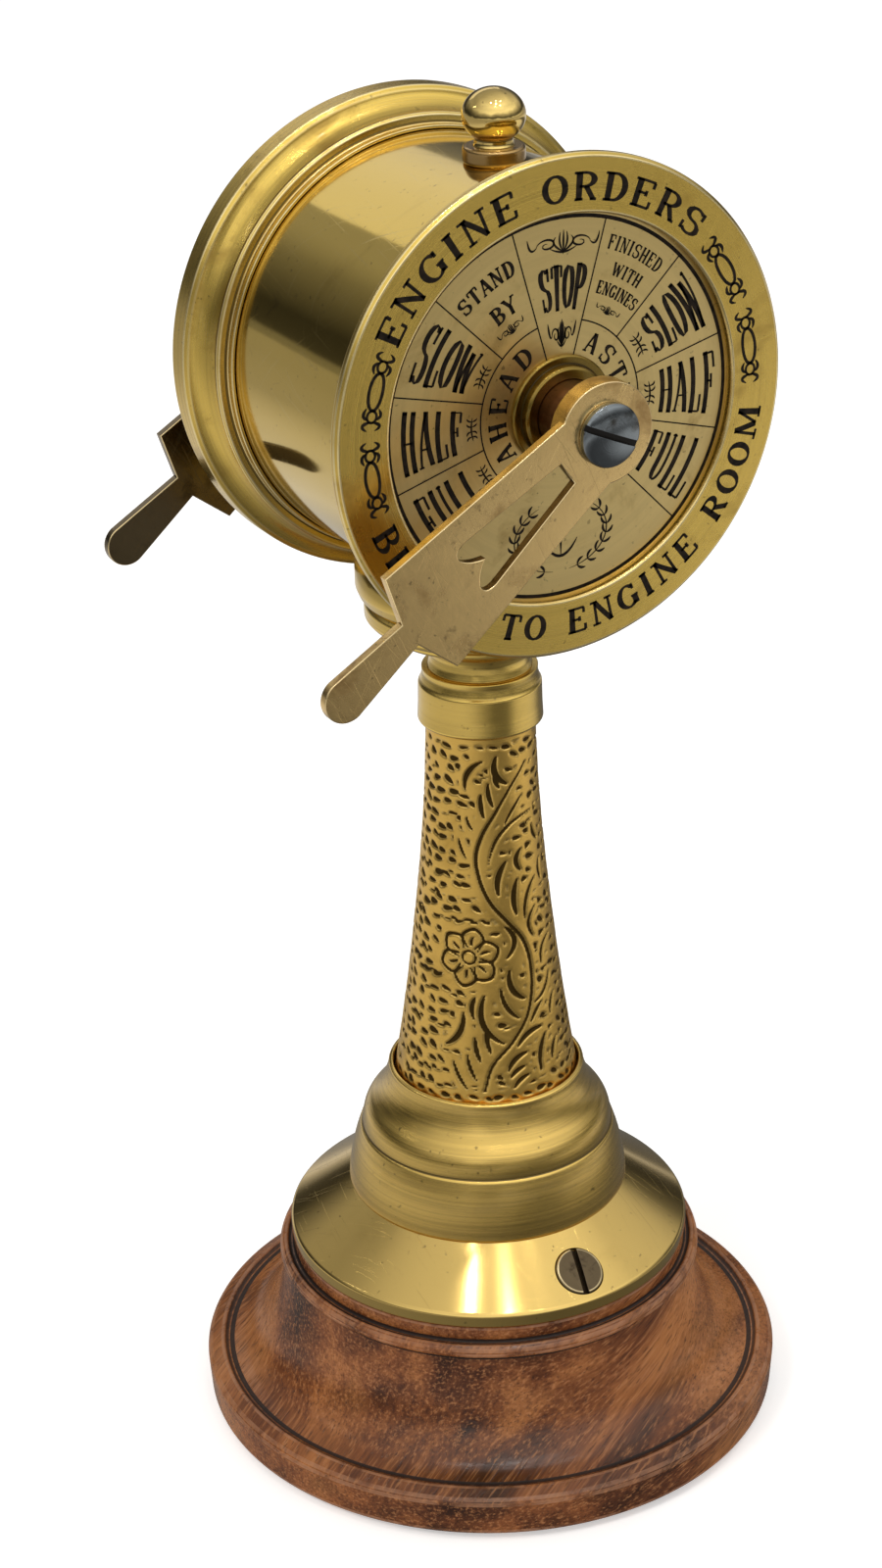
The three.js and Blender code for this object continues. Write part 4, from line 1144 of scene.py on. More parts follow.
# ---- Bezels ------------------------------------------------------------------------
# A cast brass bezel closes each end of the drum. The front one is a flat rim on a
# short collar; the rear one runs in through an ogee to a bead and a thin seam ring.

rim_brass = metal_finish(
    "ochre_rim_brass", (0.74, 0.52, 0.115), (0.44, 0.275, 0.055), 0.20,
    cover_share=0.5, cloud_size=50, rings=0.5, ring_depth=0.7, edge=0.9,
    edge_colour=(0.92, 0.76, 0.40),
)
RIM_FACE = 40.2
front_bezel = turned(
    "front_bezel_rim",
    [
        [51.15, 34.4], [52.4, 34.4], [52.8, 35], [53.6, 37.2], [55, 37.8], [58.4, 37.8],
        [58.7, 38.1], [58.7, 39.3], [57.9, RIM_FACE], [45.6, RIM_FACE], [45.2, 39.8],
        [45.2, 37.85], [51.15, 37.85],
    ],
    rim_brass, ease=0.25, segments=320, side=1,
)
stands_for(front_bezel, "stand", "rim_brass", "front_bezel")
rear_bezel = turned(
    "rear_bezel_rim",
    [
        [51.15, 24.8], [52.2, 24.8], [52.3, 25.6], [53.9, 25.8], [54.5, 26.4], [54.2, 27.1],
        *bend([53.9, 27.6], [54.8, 32.2], [58.4, 33], 8), [59.4, 33.8], [59.4, 39.3],
        [58.6, RIM_FACE], [45.6, RIM_FACE], [45.2, 39.8], [45.2, 37.85], [51.15, 37.85],
    ],
    rim_brass, ease=0.25, segments=320, side=-1,
)
stands_for(rear_bezel, "stand", "rim_brass", "rear_bezel")
seam_ring = turned(
    "seam_ring", [[51.15, 23], [52, 23], [52, 24.6], [51.15, 24.6]],
    rim_brass, ease=0.4, segments=256, side=-1,
)
stands_for(seam_ring, "stand", "rim_brass", "rear_seam_ring")


# ---- Dial plates and bushes ----------------------------------------------------------
# Each dial is a flat disc of rolled brass, engraved and gone tan. A stepped bush
# through its middle carries the shaft.

dial_brass = metal_finish(
    "tan_dial_brass", (0.76, 0.575, 0.235), (0.46, 0.31, 0.100), 0.34,
    cover_share=0.5, cloud_size=70, rings=0.2, ring_depth=0.3, scratches=0.4, edge=0.3,
)
DIAL_FACE = 37.8
boss_brass = metal_finish(
    "dark_boss_brass", (0.25, 0.165, 0.030), (0.15, 0.090, 0.018), 0.18,
    cover_share=0.5, cloud_size=90, rings=0.5, edge=0.5,
)
for side, where in ((1, "front"), (-1, "rear")):
    dial = turned(
        f"{where}_dial_disc",
        [[10, 36.6], [49.65, 36.6], [49.65, DIAL_FACE], [10, DIAL_FACE]],
        dial_brass, ease=0.05, segments=256, side=side,
    )
    stands_for(dial, "stand", "dial_brass", f"{where}_dial_plate")
    bush = turned(
        f"{where}_stepped_bush",
        [
            [8.08, 31.6], [9.8, 31.6], [9.8, 37.8], [13, 37.8], [13, 38.7], [12.6, 39.1],
            [11, 39.1], [10.8, 40.8], [10.2, 41.3], [8.08, 41.3],
        ],
        boss_brass, ease=0.2, segments=160, side=side,
    )
    stands_for(bush, "stand", "polished_brass", f"{where}_bush")


# ---- Engraving on the dials and rims ------------------------------------------------
# The orders, dividing lines and scrolls are cut shallow and filled with black wax.
# Each is a pen stroke: a line with two sides, thick upright and thin across.

def letter_strokes(letter):
    """The strokes of a capital in a box one wide and one high: a list of (line,
    weight), where weight 1 is a full stem and less is a hairline stroke."""
    top, foot, thin = 0.965, 0.035, 0.5

    def line(x0, y0, x1, y1, weight=1.0):
        return (np.array([[x0, y0], [x1, y1]], float), weight)

    def serifs(*places):
        return [line(x - 0.17, y, x + 0.17, y) for x, y in places]

    def bowl(cy, rx, ry):
        return (arc(0.46, cy, rx, ry, 90, -90), 1.0)

    drawings = {
        "A": [line(0.12, foot, 0.5, 1, thin), line(0.5, 1, 0.88, foot),
              line(0.27, 0.34, 0.72, 0.34), *serifs((0.12, foot), (0.88, foot))],
        "B": [line(0.24, 0, 0.24, 1), line(0.04, top, 0.5, top), line(0.04, foot, 0.5, foot),
              line(0.24, 0.52, 0.5, 0.52), bowl(0.745, 0.33, 0.22), bowl(0.278, 0.40, 0.243)],
        "D": [line(0.24, 0, 0.24, 1), line(0.04, top, 0.46, top), line(0.04, foot, 0.46, foot),
              bowl(0.5, 0.42, 0.465)],
        "E": [line(0.24, 0, 0.24, 1), line(0.04, top, 0.88, top), line(0.04, foot, 0.9, foot),
              line(0.24, 0.52, 0.62, 0.52), line(0.86, top, 0.86, 0.74, thin),
              line(0.89, foot, 0.89, 0.28, thin), line(0.62, 0.42, 0.62, 0.62, thin)],
        "F": [line(0.26, 0, 0.26, 1), line(0.04, top, 0.9, top),
              line(0.88, top, 0.88, 0.72, thin), line(0.26, 0.52, 0.64, 0.52),
              line(0.64, 0.41, 0.64, 0.63, thin), *serifs((0.26, foot))],
        "G": [(arc(0.52, 0.5, 0.40, 0.465, 42, 318, 36), 1.0), line(0.84, 0.06, 0.84, 0.42),
              *serifs((0.84, 0.43)), line(0.84, 0.72, 0.84, 0.96, thin)],
        "H": [line(0.2, 0, 0.2, 1), line(0.8, 0, 0.8, 1), line(0.2, 0.5, 0.8, 0.5),
              *serifs((0.2, top), (0.2, foot), (0.8, top), (0.8, foot))],
        "I": [line(0.5, 0, 0.5, 1), line(0.16, top, 0.84, top), line(0.16, foot, 0.84, foot)],
        "L": [line(0.28, 0, 0.28, 1), *serifs((0.28, top)), line(0.06, foot, 0.92, foot),
              line(0.91, foot, 0.91, 0.32, thin)],
        "M": [line(0.14, 0, 0.14, 1, thin), line(0.86, 0, 0.86, 1), line(0.16, 1, 0.5, 0.1),
              line(0.5, 0.1, 0.84, 1, thin), *serifs((0.14, foot), (0.86, foot))],
        "N": [line(0.18, 0, 0.18, 1, thin), line(0.82, 0, 0.82, 1, thin), line(0.18, 1, 0.82, 0),
              *serifs((0.14, top), (0.18, foot), (0.82, top))],
        "O": [(arc(0.5, 0.5, 0.40, 0.465, 0, 360, 48), 1.0)],
        "P": [line(0.24, 0, 0.24, 1), line(0.04, top, 0.5, top), line(0.24, 0.46, 0.5, 0.46),
              bowl(0.712, 0.38, 0.252), *serifs((0.24, foot))],
        "R": [line(0.24, 0, 0.24, 1), line(0.04, top, 0.5, top), line(0.24, 0.48, 0.5, 0.48),
              bowl(0.722, 0.36, 0.242), *serifs((0.24, foot)), line(0.52, 0.48, 0.84, foot),
              line(0.72, foot, 0.98, foot)],
        "S": [(np.vstack([arc(0.5, 0.735, 0.34, 0.225, 35, 255, 26),
                          arc(0.5, 0.275, 0.37, 0.238, 75, -148, 26)]), 1.0),
              line(0.83, 0.68, 0.83, 0.97, thin), line(0.13, 0.04, 0.13, 0.34, thin)],
        "T": [line(0.5, 0, 0.5, 1), line(0.06, top, 0.94, top), *serifs((0.5, foot)),
              line(0.07, top, 0.07, 0.72, thin), line(0.93, top, 0.93, 0.72, thin)],
        "U": [(np.vstack([[[0.22, 1]], arc(0.5, 0.3, 0.28, 0.265, 180, 270, 12)]), 1.0),
              (np.vstack([arc(0.5, 0.3, 0.30, 0.265, 270, 360, 12), [[0.80, 1]]]), 0.6),
              *serifs((0.22, top), (0.80, top))],
        "W": [line(0.07, 1, 0.3, 0), line(0.3, 0, 0.5, 0.9, thin), line(0.5, 0.9, 0.7, 0),
              line(0.7, 0, 0.93, 1, thin), line(0, top, 0.2, top), line(0.8, top, 1.0, top)],
        "Y": [line(0.12, 1, 0.5, 0.45), line(0.88, 1, 0.5, 0.45, thin), line(0.5, 0.47, 0.5, 0),
              *serifs((0.12, top), (0.88, top), (0.5, foot))],
    }
    return drawings[letter]


LETTER_WIDTHS = {"I": 0.56, "L": 0.9, "F": 0.9, "E": 0.95, "M": 1.3, "W": 1.4, "N": 1.08, " ": 0.6}


def pen_sides(line, thick, thin, taper=False, count=20):
    """The two sides of a pen stroke along a line. The line is cut into even steps,
    and each side lies half a nib away, where the nib is an oval, thick across and
    thin up. A tapered stroke runs out to a point at both ends."""
    gaps = np.linalg.norm(np.diff(line, axis=0), axis=1)
    run = np.concatenate([[0], np.cumsum(gaps)])
    t = np.linspace(0, run[-1], count)
    path = np.stack([np.interp(t, run, line[:, 0]), np.interp(t, run, line[:, 1])], -1)
    ahead = np.gradient(path, axis=0)
    ahead /= np.linalg.norm(ahead, axis=1, keepdims=True) + 1e-9
    nib = np.stack([-ahead[:, 1] * thick / 2, ahead[:, 0] * thin / 2], -1)
    if taper:
        nib *= (0.12 + 0.88 * np.sin(np.pi * np.linspace(0.02, 0.98, count)) ** 0.8)[:, None]
    return path + nib, path - nib


def word_sides(word, width, height, stem, hairline, spacing=0.16):
    """The pen strokes of a word that fills a box of that width and height in
    millimetres, as pairs of sides, with places from 0 to 1 both ways in the box."""
    widths = [LETTER_WIDTHS.get(letter, 1.0) for letter in word]
    total = sum(widths) + spacing * (len(word) - 1)
    sides, x = [], 0.0
    for letter, wide in zip(word, widths):
        if letter != " ":
            box = np.array([width * wide / total, height])
            for line, weight in letter_strokes(letter):
                pair = pen_sides(line * box, stem * weight, hairline)
                sides.append([(side / box * [wide, 1] + [x, 0]) / [total, 1] for side in pair])
        x += wide + spacing
    return sides


def laid_out(sides, place):
    """Carries each side of each stroke from its box to the dial. place(x, y) gives the
    angle, in degrees clockwise from the top, and the distance from the middle."""
    laid = []
    for pair in sides:
        spots = [place(side[:, 0], side[:, 1]) for side in pair]
        laid.append([
            np.stack([reach * np.sin(np.radians(a)), reach * np.cos(np.radians(a))], -1)
            for a, reach in spots
        ])
    return laid


def around(middle, spread, low, high, sides):
    """Bends a box round the dial: its left to right becomes a turn by spread degrees
    about the middle angle, and its height a distance from low to high. With spread
    below 0 the tops point inward and it reads backward, as along the bottom."""
    return laid_out(sides, lambda x, y: (
        middle + (x - 0.5) * spread, low + y * (high - low)))


def outward(middle, spread, near, far, sides):
    """Lays a box along a radius of the dial, reading from left to right: its width
    becomes the distance and its height a turn, so that it fills a wedge."""
    if middle < 0:
        return laid_out(sides, lambda x, y: (
            middle + (y - 0.5) * spread, near + (1 - x) * (far - near)))
    return laid_out(sides, lambda x, y: (
        middle - (y - 0.5) * spread, near + x * (far - near)))


def scroll(kind):
    """A small ornament of tapered strokes in a box one wide and one high."""
    t = np.linspace(0, 1, 26)
    curl = 2.6 * np.pi * t
    spiral = np.stack([np.cos(curl) * (1 - 0.78 * t), np.sin(curl) * (1 - 0.78 * t)], -1)
    right = spiral * [0.15, 0.26] + [0.74, 0.46]
    left = right * [-1, 1] + [1, 0]
    tail = np.array(bend([0.88, 0.5], [1.0, 0.2], [0.99, 0.9], 12))
    leaves = [
        np.array(bend(
            [0.5, 0.1], [0.5 + k * 0.14, 0.45], [0.5 + k * 0.07, 0.98 - abs(k) * 0.18], 12))
        for k in (-1.5, -0.6, 0.6, 1.5)
    ]
    stem_line = np.array([[0.5, 0.0], [0.5, 0.95]])
    if kind == "wide":
        foot = np.array(bend([0.3, 0.3], [0.5, -0.12], [0.7, 0.3], 14))
        return [right, left, tail, tail * [-1, 1] + [1, 0], stem_line, foot, *leaves]
    twig = np.array(bend([0.04, 0.42], [0.5, 0.62], [0.96, 0.46], 16))
    wings = [
        np.array(bend([x, 0.5], [x + 0.02, 0.5 + k * 0.42], [x + 0.13 * turn, 0.5 + k * 0.5], 12))
        for x, turn in ((0.22, -1), (0.42, -1), (0.60, 1), (0.80, 1)) for k in (-1, 1)
    ]
    return [twig, *wings]


def scroll_sides(kind, width, height, stem=0.55):
    """The pen strokes of an ornament that fills a box in millimetres."""
    box = np.array([width, height])
    pairs = [pen_sides(line * box, stem, stem, taper=True) for line in scroll(kind)]
    return [[side / box for side in pair] for pair in pairs]


def plain_line(points, width, count=20):
    """A cut line of even width through points on the dial."""
    return [list(pen_sides(np.array(points, float), width, width, count=count))]


def ring_line(radius, width, start=0, end=360):
    """A cut ring, or part of one between two clockwise angles from the top."""
    t = np.radians(np.linspace(start, end, 160))
    return plain_line(np.stack([radius * np.sin(t), radius * np.cos(t)], -1), width, count=160)


def ray(angle, near, far, width=0.34):
    """A cut line along a radius."""
    out = np.array([math.sin(math.radians(angle)), math.cos(math.radians(angle))])
    return plain_line([near * out, far * out], width)


def dial_engraving(swap):
    """Everything cut in one dial, seen by its reader. The ahead orders are on the
    left and the astern ones on the right, or the other way round with swap -1, so
    that both dials name the same place of the shaft."""
    sides = ring_line(44.2, 0.9)
    for angle in (46, 76, 106, 136):
        sides += ray(angle, 20.8, 43.9) + ray(-angle, 20.8, 43.9)
    sides += ray(16, 12.4, 43.9) + ray(-16, 12.4, 43.9)
    for near, far in ((16, 136), (-136, -16)):
        sides += ring_line(20.8, 0.36, near, far) + ring_line(12.6, 0.36, near, far)
    for place, word, size, nib in (
        ((1.5, 23, 23.0, 33.6), "STOP", (11.2, 10.6), (1.12, 0.42)),
        ((-31, 24.5, 35.0, 38.9), "STAND", (15.5, 3.9), (0.86, 0.40)),
        ((-29.5, 13, 27.2, 31.3), "BY", (6.6, 4.1), (0.92, 0.42)),
        ((31, 23.5, 37.4, 40.7), "FINISHED", (16, 3.3), (0.56, 0.32)),
        ((32, 14.5, 32.0, 35.0), "WITH", (8.5, 3.0), (0.56, 0.32)),
        ((32, 24, 27.3, 30.2), "ENGINES", (12, 2.9), (0.56, 0.32)),
    ):
        sides += around(*place, word_sides(word, *size, *nib))
    for place, size, stem in (
        ((1.5, 27, 35.8, 41.6), (17, 5.4), 0.5), ((1.5, 21, 14.2, 21.4), (6.6, 7.2), 0.5),
        ((-31, 17, 23.2, 26.0), (7.4, 2.8), 0.34), ((31, 16, 23.4, 25.6), (6.8, 2.2), 0.30),
    ):
        sides += around(*place, scroll_sides("wide", *size, stem))
    for middle, word in ((61, "SLOW"), (91, "HALF"), (121, "FULL")):
        letters = word_sides(word, 14.8, 12.4, 1.18, 0.44)
        sides += outward(-middle, 21.5, 25.6, 41.2, letters)
        sides += outward(middle, 21.5, 26.8, 42.0, letters)
        leaf = scroll_sides("sprig", 7.6, 2.9, 0.52)
        sides += around(-middle, 15, 21.8, 24.4, leaf)
        sides += around(middle, 15, 22.6, 25.4, leaf)
    ahead = word_sides("AHEAD", 26, 4.7, 1.0, 0.42, spacing=0.5)
    astern = word_sides("ASTERN", 30, 4.7, 1.0, 0.42, spacing=0.5)
    sides += around(-77 * swap, 98, 14.2, 18.8, ahead)
    sides += around(77 * swap, 104, 14.2, 18.8, astern)
    return sides + laurel_and_anchor()


def laurel_and_anchor():
    """In the blank lower part of the dial: a laurel wreath round a plain anchor."""
    middle = np.array([0.0, -30.2])
    lines = []
    for hand in (1, -1):
        t = np.radians(np.linspace(-80, 62, 40))
        stalk = middle + np.stack([hand * 12.4 * np.cos(t), 8.6 * np.sin(t)], -1)
        lines.append((stalk, 0.34))
        for k in range(3, 39, 4):
            ahead = stalk[k] - stalk[k - 1]
            ahead /= np.linalg.norm(ahead)
            beside = np.array([-ahead[1], ahead[0]])
            for lean in (1, -1):
                tip = stalk[k] + 2.0 * ahead + lean * 1.35 * beside
                pull = stalk[k] + 0.5 * ahead + lean * 1.35 * beside
                lines.append((np.array(bend(stalk[k], pull, tip, 10)), 0.66))
    shank = middle + np.array([[0, 4.2], [0, -4.6]])
    stock = middle + np.array([[-2.2, 3.2], [2.2, 3.2]])
    flukes = middle + np.array(bend([-4.4, -1.2], [0, -8.6], [4.4, -1.2], 20))
    lines += [(shank, 0.6), (stock, 0.5), (flukes, 0.75)]
    eye = middle + arc(0, 5.0, 0.8, 0.8, 0, 360)
    made = [list(pen_sides(line, width, width, taper=True)) for line, width in lines]
    return made + plain_line(eye, 0.36, count=30)


def rim_chain(start, end):
    """A chain of two oval links with knots and curled ends, laid along the rim
    between two clockwise angles from the top."""
    links = []
    for x in (0.23, 0.77):
        links.append((arc(x, 0.5, 0.115, 0.34, 0, 360, 30), 0.78, False))
        for hand in (1, -1):
            knot = arc(x + hand * 0.15, 0.5, 0.036, 0.24, 0, 360, 20)
            links.append((knot, 0.62, False))
            for flip in (1, -1):
                curl = bend(
                    [x + hand * 0.18, 0.5], [x + hand * 0.20, 0.5 + flip * 0.75],
                    [x + hand * 0.235, 0.5 + flip * 0.2], 14,
                )
                leaf = bend(
                    [x + hand * 0.10, 0.5 - flip * 0.3], [x + hand * 0.15, 0.5 - flip * 0.6],
                    [x + hand * 0.17, 0.5 - flip * 0.2], 12,
                )
                links += [(np.array(curl), 0.80, True), (np.array(leaf), 0.80, True)]
    band_radius, band_width = 50, 5.0
    box = np.array([math.radians(abs(end - start)) * band_radius, band_width])
    pairs = [pen_sides(line * box, width, width, taper) for line, width, taper in links]
    flat = [[side / box for side in pair] for pair in pairs]
    return around((start + end) / 2, end - start, 47.6, 52.6, flat)


def rim_engraving():
    """The words round the rim: along the top with their tops out, along the bottom
    with their tops in, and a chain between them on each side."""
    top = word_sides("ENGINE ORDERS", 96, 6.3, 1.62, 0.62, spacing=0.22)
    bottom = word_sides("BRIDGE TO ENGINE ROOM", 134, 6.1, 1.5, 0.60, spacing=0.24)
    words = around(-9, 107, 48.1, 54.4, top) + around(174, -150, 54.0, 47.9, bottom)
    return words + rim_chain(48.5, 92) + rim_chain(-107, -64.5)


def wax_finish():
    """Black wax, brown where it is thin, slightly rough."""
    finish, tree, surface = new_finish("black_engraving_wax", Specular_IOR_Level=0.12)
    patch = noise_over(tree, object_space(tree), Scale=700.0, Detail=3.0)
    shade = ramp_of(tree, patch, (0.35, (0.004, 0.003, 0.002)), (0.75, (0.022, 0.014, 0.008)))
    rough = node_in(tree, "MapRange", To_Min=0.42, To_Max=0.66)
    wire(
        tree, (patch, rough.inputs["Value"]), (shade, surface.inputs["Base Color"]),
        (rough.outputs["Result"], surface.inputs["Roughness"]),
    )
    return finish


WAX_RISE = 0.03


def fill_engraving(name, sides, side, face, finish):
    """Turns pairs of stroke sides into one thin mesh on a face of the drum. A reader
    in front of the face sees x to the right and y up: x becomes side x, and y is
    measured up from the drum's middle."""
    vertices, faces, first = [], [], 0
    for left, right in sides:
        across = np.stack([left, right], 1).reshape(-1, 2)
        vertices.append(across)
        faces.append(grid_faces(len(left), 2, False, False) + first)
        first += len(across)
    x, y = np.vstack(vertices).T
    level = np.full(len(x), -side * (face + WAX_RISE))
    placed = np.stack([side * x, level, DRUM_MIDDLE + y], -1)
    piece = mesh_piece(name, placed, np.vstack(faces), finish, smooth=False)
    rework(piece.data, lambda work: bmesh.ops.reverse_faces(
        work, faces=[f for f in work.faces if f.normal.y * side > 0]))
    return piece


wax = wax_finish()
for side, where in ((1, "front"), (-1, "rear")):
    orders = fill_engraving(f"{where}_dial_engraving", dial_engraving(side), side, DIAL_FACE, wax)
    stands_for(orders, "stand", "dial_brass")
    words = fill_engraving(f"{where}_rim_engraving", rim_engraving(), side, RIM_FACE, wax)
    stands_for(words, "stand", "rim_brass")


# ---- Shaft -------------------------------------------------------------------------
# One bronze shaft runs through both bushes, so both levers turn together. It is dark
# red-brown where oil has baked on between the bush and the lever's hub.

shaft_bronze = metal_finish(
    "oiled_shaft_bronze", (0.19, 0.085, 0.055), (0.07, 0.030, 0.022), 0.24,
    cover_share=0.6, cloud_size=160, rings=0.6, edge=0.5,
)
shaft = turned(
    "through_shaft",
    [
        [0, -57], [4.2, -57], [4.2, -52], [8, -52], [8, -29], [5, -29], [5, 29], [8, 29],
        [8, 52], [4.2, 52], [4.2, 57], [0, 57],
    ],
    shaft_bronze, ease=0.2, segments=128, side=1,
)
stands_for(shaft, "lever", "shaft_bronze", "lever_shaft")


# ---- Levers ------------------------------------------------------------------------
# Each lever is cut from bronze plate, with a hub brazed behind it: two arms round a
# window with a double-lobed end, a broad paddle and a round-ended handle. Hands have
# rubbed its edges bright and left the flats brown. The window's walls are painted
# dark as shade, and the rear lever is painted darker all over, as shade.

LEVER_FACE = 57.5
LEVER_TURN = math.radians(215.9 - 270)


def lever_finish(name, bright, brown, stain):
    """Bronze gone brown in blotches, with edges rubbed bright and painted shade on the walls
    of the window: the walls are darkened as if they stood in shadow. How square a face
    stands to the drum's axis tells flat, edge and wall."""
    finish, tree, surface = new_finish(name, Metallic=1.0, **LACQUER)
    age = place_group(tree, tarnish, Size=60.0, Cover=0.62)
    hairs = place_group(tree, hairlines, Few=0.675)
    stains = noise_over(tree, object_space(tree), Scale=150.0, Detail=5.0, Roughness=0.7)
    split = node_in(tree, "SeparateXYZ")
    wire(tree, (node_in(tree, "NewGeometry").outputs["Normal"], split.inputs[0]))
    square_on = sum_up(tree, "ABSOLUTE", split.outputs["Y"])
    wall = node_in(tree, "Attribute", attribute_name="window_wall").outputs["Fac"]
    rubbed = times(
        tree, step_up(tree, square_on, 0.985, 0.9), step_up(tree, square_on, 0.05, 0.35))
    toned = blend_colours(
        tree, bright,
        (age["Clouds"], brown),
        (step_up(tree, stains, 0.57, 0.72, 0.0, 0.6), stain),
        (times(tree, age["Specks"], 0.9, clamp=True), (0.03, 0.017, 0.008)),
        (times(tree, rubbed, 0.8), (0.84, 0.66, 0.36)),
        # Painted shade: the window's walls go near black-brown, as if in shadow.
        (times(tree, wall, step_up(tree, square_on, 0.5, 0.2, 0.0, 0.92)), (0.085, 0.048, 0.018)),
    )
    roughness = build_up(tree, 0.24, (age["Clouds"], 0.14))
    height = build_up(tree, times(tree, hairs["Scratches"], -0.5), (stains, 1.2))
    cover(tree, surface, toned, height, 0.00004, roughness)
    return finish


def lever_outline(hub_radius):
    """The outer line of the lever, hanging straight down from the hub: the hub's arc,
    the two arms, the paddle's corners, the neck and the rounded handle."""
    join = math.degrees(math.asin(10 / hub_radius))
    hub = arc(0, 0, hub_radius, hub_radius, -90 + join, 270 - join, 72)
    handle = arc(0, -82.7, 5.3, 5.3, 180, 360, 24)
    neck = [[-3.4, -62.6]]
    return np.vstack([hub, [[-15, -59]], neck, handle, [[3.4, -62.6]], [[15, -59]]])


def lever_window():
    """The window in the lever, with a narrow end at the hub and two lobes that meet
    in a cusp at the paddle."""
    return np.array([
        [-3.1, -12.6], [3.1, -12.6], [6.8, -40.6],
        *bend([6.8, -40.6], [6.8, -44], [4.4, -43.6], 8)[1:],
        *bend([4.4, -43.6], [1.9, -42.6], [0, -38.8], 8)[1:],
        *bend([0, -38.8], [-1.9, -42.6], [-4.4, -43.6], 8)[1:],
        *bend([-4.4, -43.6], [-6.8, -44], [-6.8, -40.6], 8)[1:-1],
        [-6.8, -40.6],
    ])[::-1]


def cut_plate(name, outlines, side, back, face, ease, finish):
    """A plate sawn to its outlines, the outer one first, with rounded edges: a flat
    curve filled, thickened from back to face and made a mesh."""
    data = bpy.data.curves.new(name, "CURVE")
    data.dimensions = "2D"
    data.fill_mode = "BOTH"
    data.extrude = ((face - back) / 2 - ease) * MM
    data.bevel_depth = ease * MM
    data.bevel_resolution = 2
    for outline in outlines:
        line = data.splines.new("POLY")
        line.points.add(len(outline) - 1)
        places = np.column_stack([outline * MM, np.zeros(len(outline)), np.ones(len(outline))])
        line.points.foreach_set("co", places.ravel())
        line.use_cyclic_u = True
    data.offset = -ease * MM
    flat = into_scene(name + "_flat", data)
    mesh = bpy.data.meshes.new_from_object(as_modified(flat))
    bpy.data.objects.remove(flat)
    bpy.data.curves.remove(data)
    mesh.name = name
    mesh.materials.clear()
    mesh.materials.append(finish)
    piece = into_scene(name, mesh)
    middle = (face + back) / 2
    move_points(piece, lambda p: np.stack([
        p[:, 0], -side * middle - p[:, 2], DRUM_MIDDLE + p[:, 1]], -1))

    def close_seams(work):
        bmesh.ops.remove_doubles(work, verts=work.verts, dist=1e-6)
        bmesh.ops.recalc_face_normals(work, faces=work.faces)

    rework(mesh, close_seams)
    true_flats(piece, 60)
    return piece


def mark_window(piece, line):
    """Marks the points of the plate that lie within 0.6 mm of the window's line, where the
    finish paints shade on the window's walls. The distance to each side of the line is
    taken to its nearest point, at t along it."""
    flat = points_of(piece.data)[:, None, ::2] - np.array([0, DRUM_MIDDLE])
    run = np.roll(line, -1, 0) - line
    t = np.clip(((flat - line) * run).sum(2) / (run ** 2).sum(1), 0, 1)[..., None]
    away = np.linalg.norm(flat - line - t * run, axis=2).min(1)
    mark = piece.data.attributes.new("window_wall", "FLOAT", "POINT")
    mark.data.foreach_set("value", (away < 0.6).astype(float))


handled_bronze = lever_finish(
    "handled_bronze", (0.84, 0.595, 0.245), (0.44, 0.265, 0.095), (0.13, 0.07, 0.03))
# The rear lever's finish is the same bronze painted much darker: painted shade, standing for the
# rear lever in shadow.
shadow_painted_bronze = lever_finish(
    "shadow_painted_bronze", (0.17, 0.125, 0.062), (0.075, 0.052, 0.026), (0.03, 0.018, 0.010))
for side, where in ((1, "front"), (-1, "rear")):
    bronze = handled_bronze if side > 0 else shadow_painted_bronze
    outline = swung(lever_outline(hub_radius=11.86), LEVER_TURN)
    window = swung(lever_window(), LEVER_TURN)
    arm = cut_plate(
        f"{where}_lever_plate", [outline, window],
        side, LEVER_FACE - 2.5, LEVER_FACE, 0.35, bronze,
    )
    mark_window(arm, window)
    stands_for(arm, "lever", "lever_bronze", f"{where}_lever")
    hub = turned(
        f"{where}_lever_hub",
        [
            [8.2, 52], [11.4, 52], [11.9, 52.5], [11.9, 57.0], [11.4, 57.46], [4.3, 57.46],
            [4.3, 52],
        ],
        bronze, ease=0.4, segments=160, side=side,
    )
    stands_for(hub, "lever", "lever_bronze")


# ---- Lever screws ------------------------------------------------------------------
# A domed cheese-head screw of dark polished steel holds each lever on its square. The
# slot is sawn across the dome, with bright edges where drivers have slipped.

dark_steel = metal_finish(
    "dark_polished_steel", (0.19, 0.215, 0.235), (0.07, 0.068, 0.062), 0.12,
    cover_share=0.55, cloud_size=170, fineness=5.0, rings=0.3, scratches=0.5, edge=0.7, dirt=1.0,
    edge_colour=(0.62, 0.62, 0.60), dark=(0.015, 0.012, 0.010),
)


def screw_in_hub(points, side):
    """Lays a screw made upright at the origin along the drum's axis, its head on the
    lever's face."""
    return np.stack([
        points[:, 0], -side * (LEVER_FACE + points[:, 2]), DRUM_MIDDLE + side * points[:, 1]], -1)


for side, where in ((1, "front"), (-1, "rear")):
    dome = [
        [7.4 * math.cos(a), 1.5 + 1.9 * math.sin(a)] for a in np.linspace(0, math.pi / 2, 15)[:-1]
    ]
    screw = turned(
        f"{where}_lever_screw_dome",
        [[0, -14], [2.5, -14], [2.5, 0], [7.1, 0], [7.4, 0.3], *dome, [0, 3.4]],
        dark_steel, ease=0.3, segments=128,
    )
    slot_turn = math.pi / 2 - 0.42
    saw_slot(screw, slot_turn, half_width=0.72, floor=1.3, top=6, edge_ease=0.16)
    move_points(screw, screw_in_hub, side)
    stands_for(screw, "lever", "dark_steel", f"{where}_lever_screw")


# ---- Finial ------------------------------------------------------------------------
# A squashed brass ball on a dark waisted neck, turned in one and mirror polished. It
# stands on a bronze washer on top of the drum, held by a stud and nut inside.

mirror_brass = metal_finish(
    "mirror_finial_brass", (0.78, 0.57, 0.19), (0.55, 0.38, 0.12), 0.06,
    cover_share=0.25, rings=0.15, ring_depth=0.1, scratches=0.3,
)


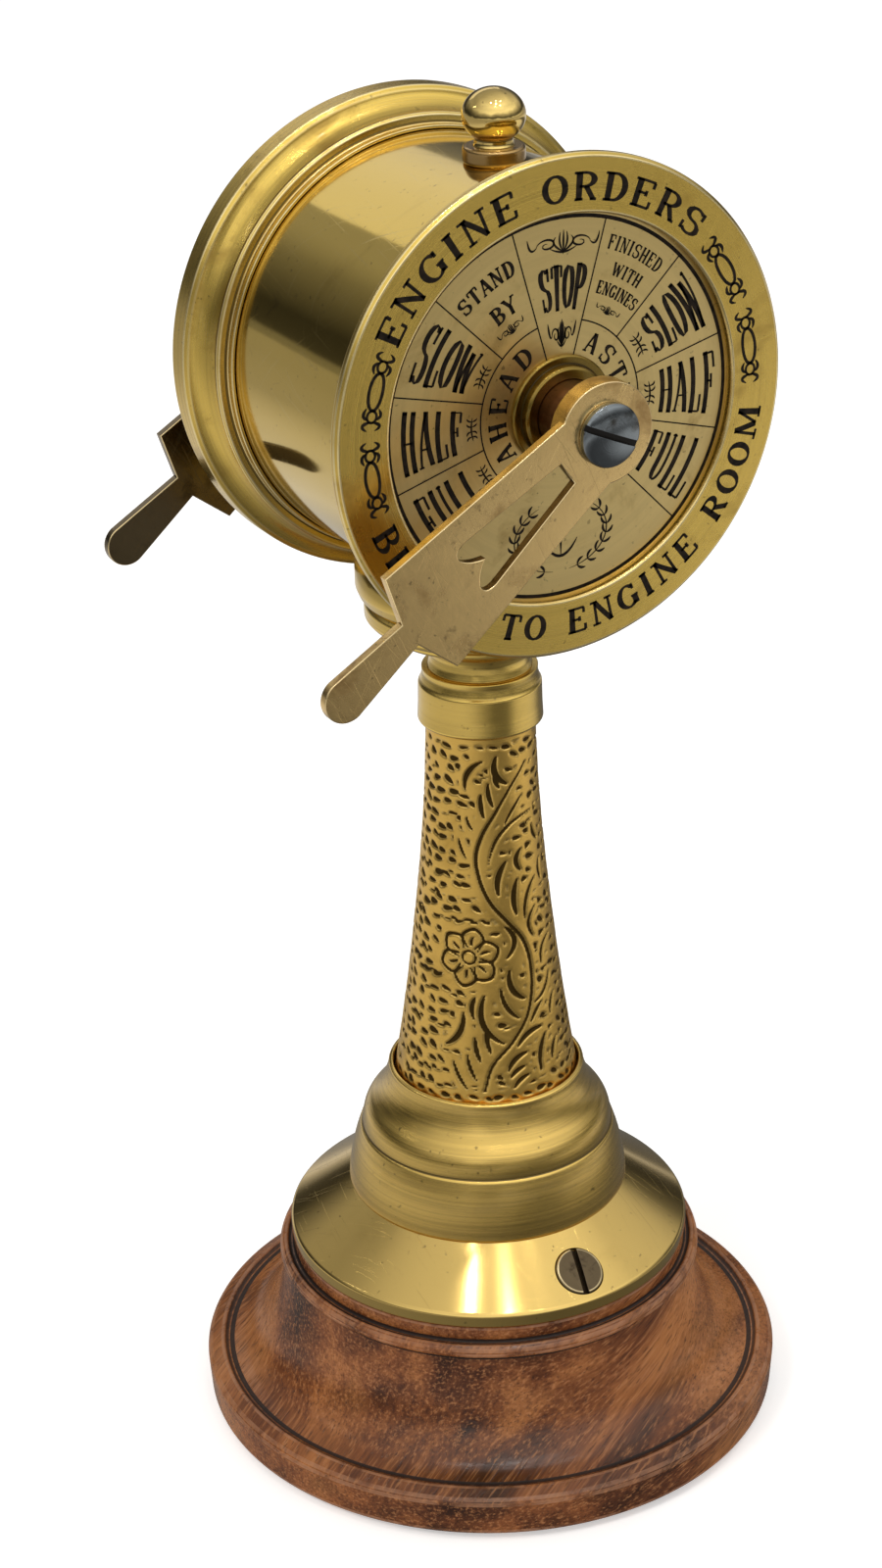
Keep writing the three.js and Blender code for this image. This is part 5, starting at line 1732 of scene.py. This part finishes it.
def finial_profile():
    """The ball is an oval 14.7 wide and 12.6 high on a neck that narrows to 4.4."""
    ball = [
        [7.35 * math.cos(a), 343.4 + 6.3 * math.sin(a)]
        for a in np.radians(np.linspace(-52, 88, 30))
    ]
    return [
        [0, 326], [2, 326], [2, 336.6], [4.8, 336.6], [4.5, 337.3], [4.4, 338.2], *ball,
        [0, 349.7],
    ]


def off_middle(points, y):
    return points + np.array([0, y, 0])


FINIAL_Y = sum(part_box("finial_washer")[i][1] for i in (0, 1)) / 2 / MM
finial = turned("finial_turned", finial_profile(), mirror_brass, ease=0.2, segments=160)
move_points(finial, off_middle, FINIAL_Y)
stands_for(finial, "stand", "polished_brass", "finial_ball")
washer_bronze = metal_finish(
    "finial_washer_bronze", (0.42, 0.27, 0.10), (0.20, 0.115, 0.045), 0.2, cover_share=0.5,
)
washer = turned(
    "finial_washer_turned",
    [[2.2, 332.6], [6.6, 332.6], [7.2, 333.2], [7.2, 336.1], [6.8, 336.6], [2.2, 336.6]],
    washer_bronze, ease=0.5, segments=128,
)
move_points(washer, off_middle, FINIAL_Y)
stands_for(washer, "stand", "shaft_bronze", "finial_washer")


# ---- Works inside the drum and the tie rod -------------------------------------------
# A plain steel rod and nuts clamp the whole stack. On the shaft a star wheel clicks
# past a sprung hammer that strikes the gong, all on one bent bracket.

plain_steel = metal_finish(
    "plain_machined_steel", (0.42, 0.41, 0.39), (0.20, 0.17, 0.14), 0.30,
    cover_share=0.5, cloud_size=120, rings=0.0, edge=0.0,
)
inner_brass = metal_finish(
    "unpolished_inner_brass", (0.50, 0.36, 0.13), (0.28, 0.18, 0.06), 0.36,
    cover_share=0.55, cloud_size=90, rings=0.0, edge=0.0,
)
for node in (
    "tie_rod", "tie_rod_lower_washer", "tie_rod_lower_nut", "tie_rod_upper_washer",
    "tie_rod_upper_nut", "star_wheel_screw", "hammer_pin", "hammer_spring", "gong_post",
    "gong_screw", "finial_nut",
):
    finish_cad_node(node, plain_steel)
for node in ("star_wheel", "mechanism_bracket", "bell_hammer", "gong"):
    finish_cad_node(node, inner_brass)
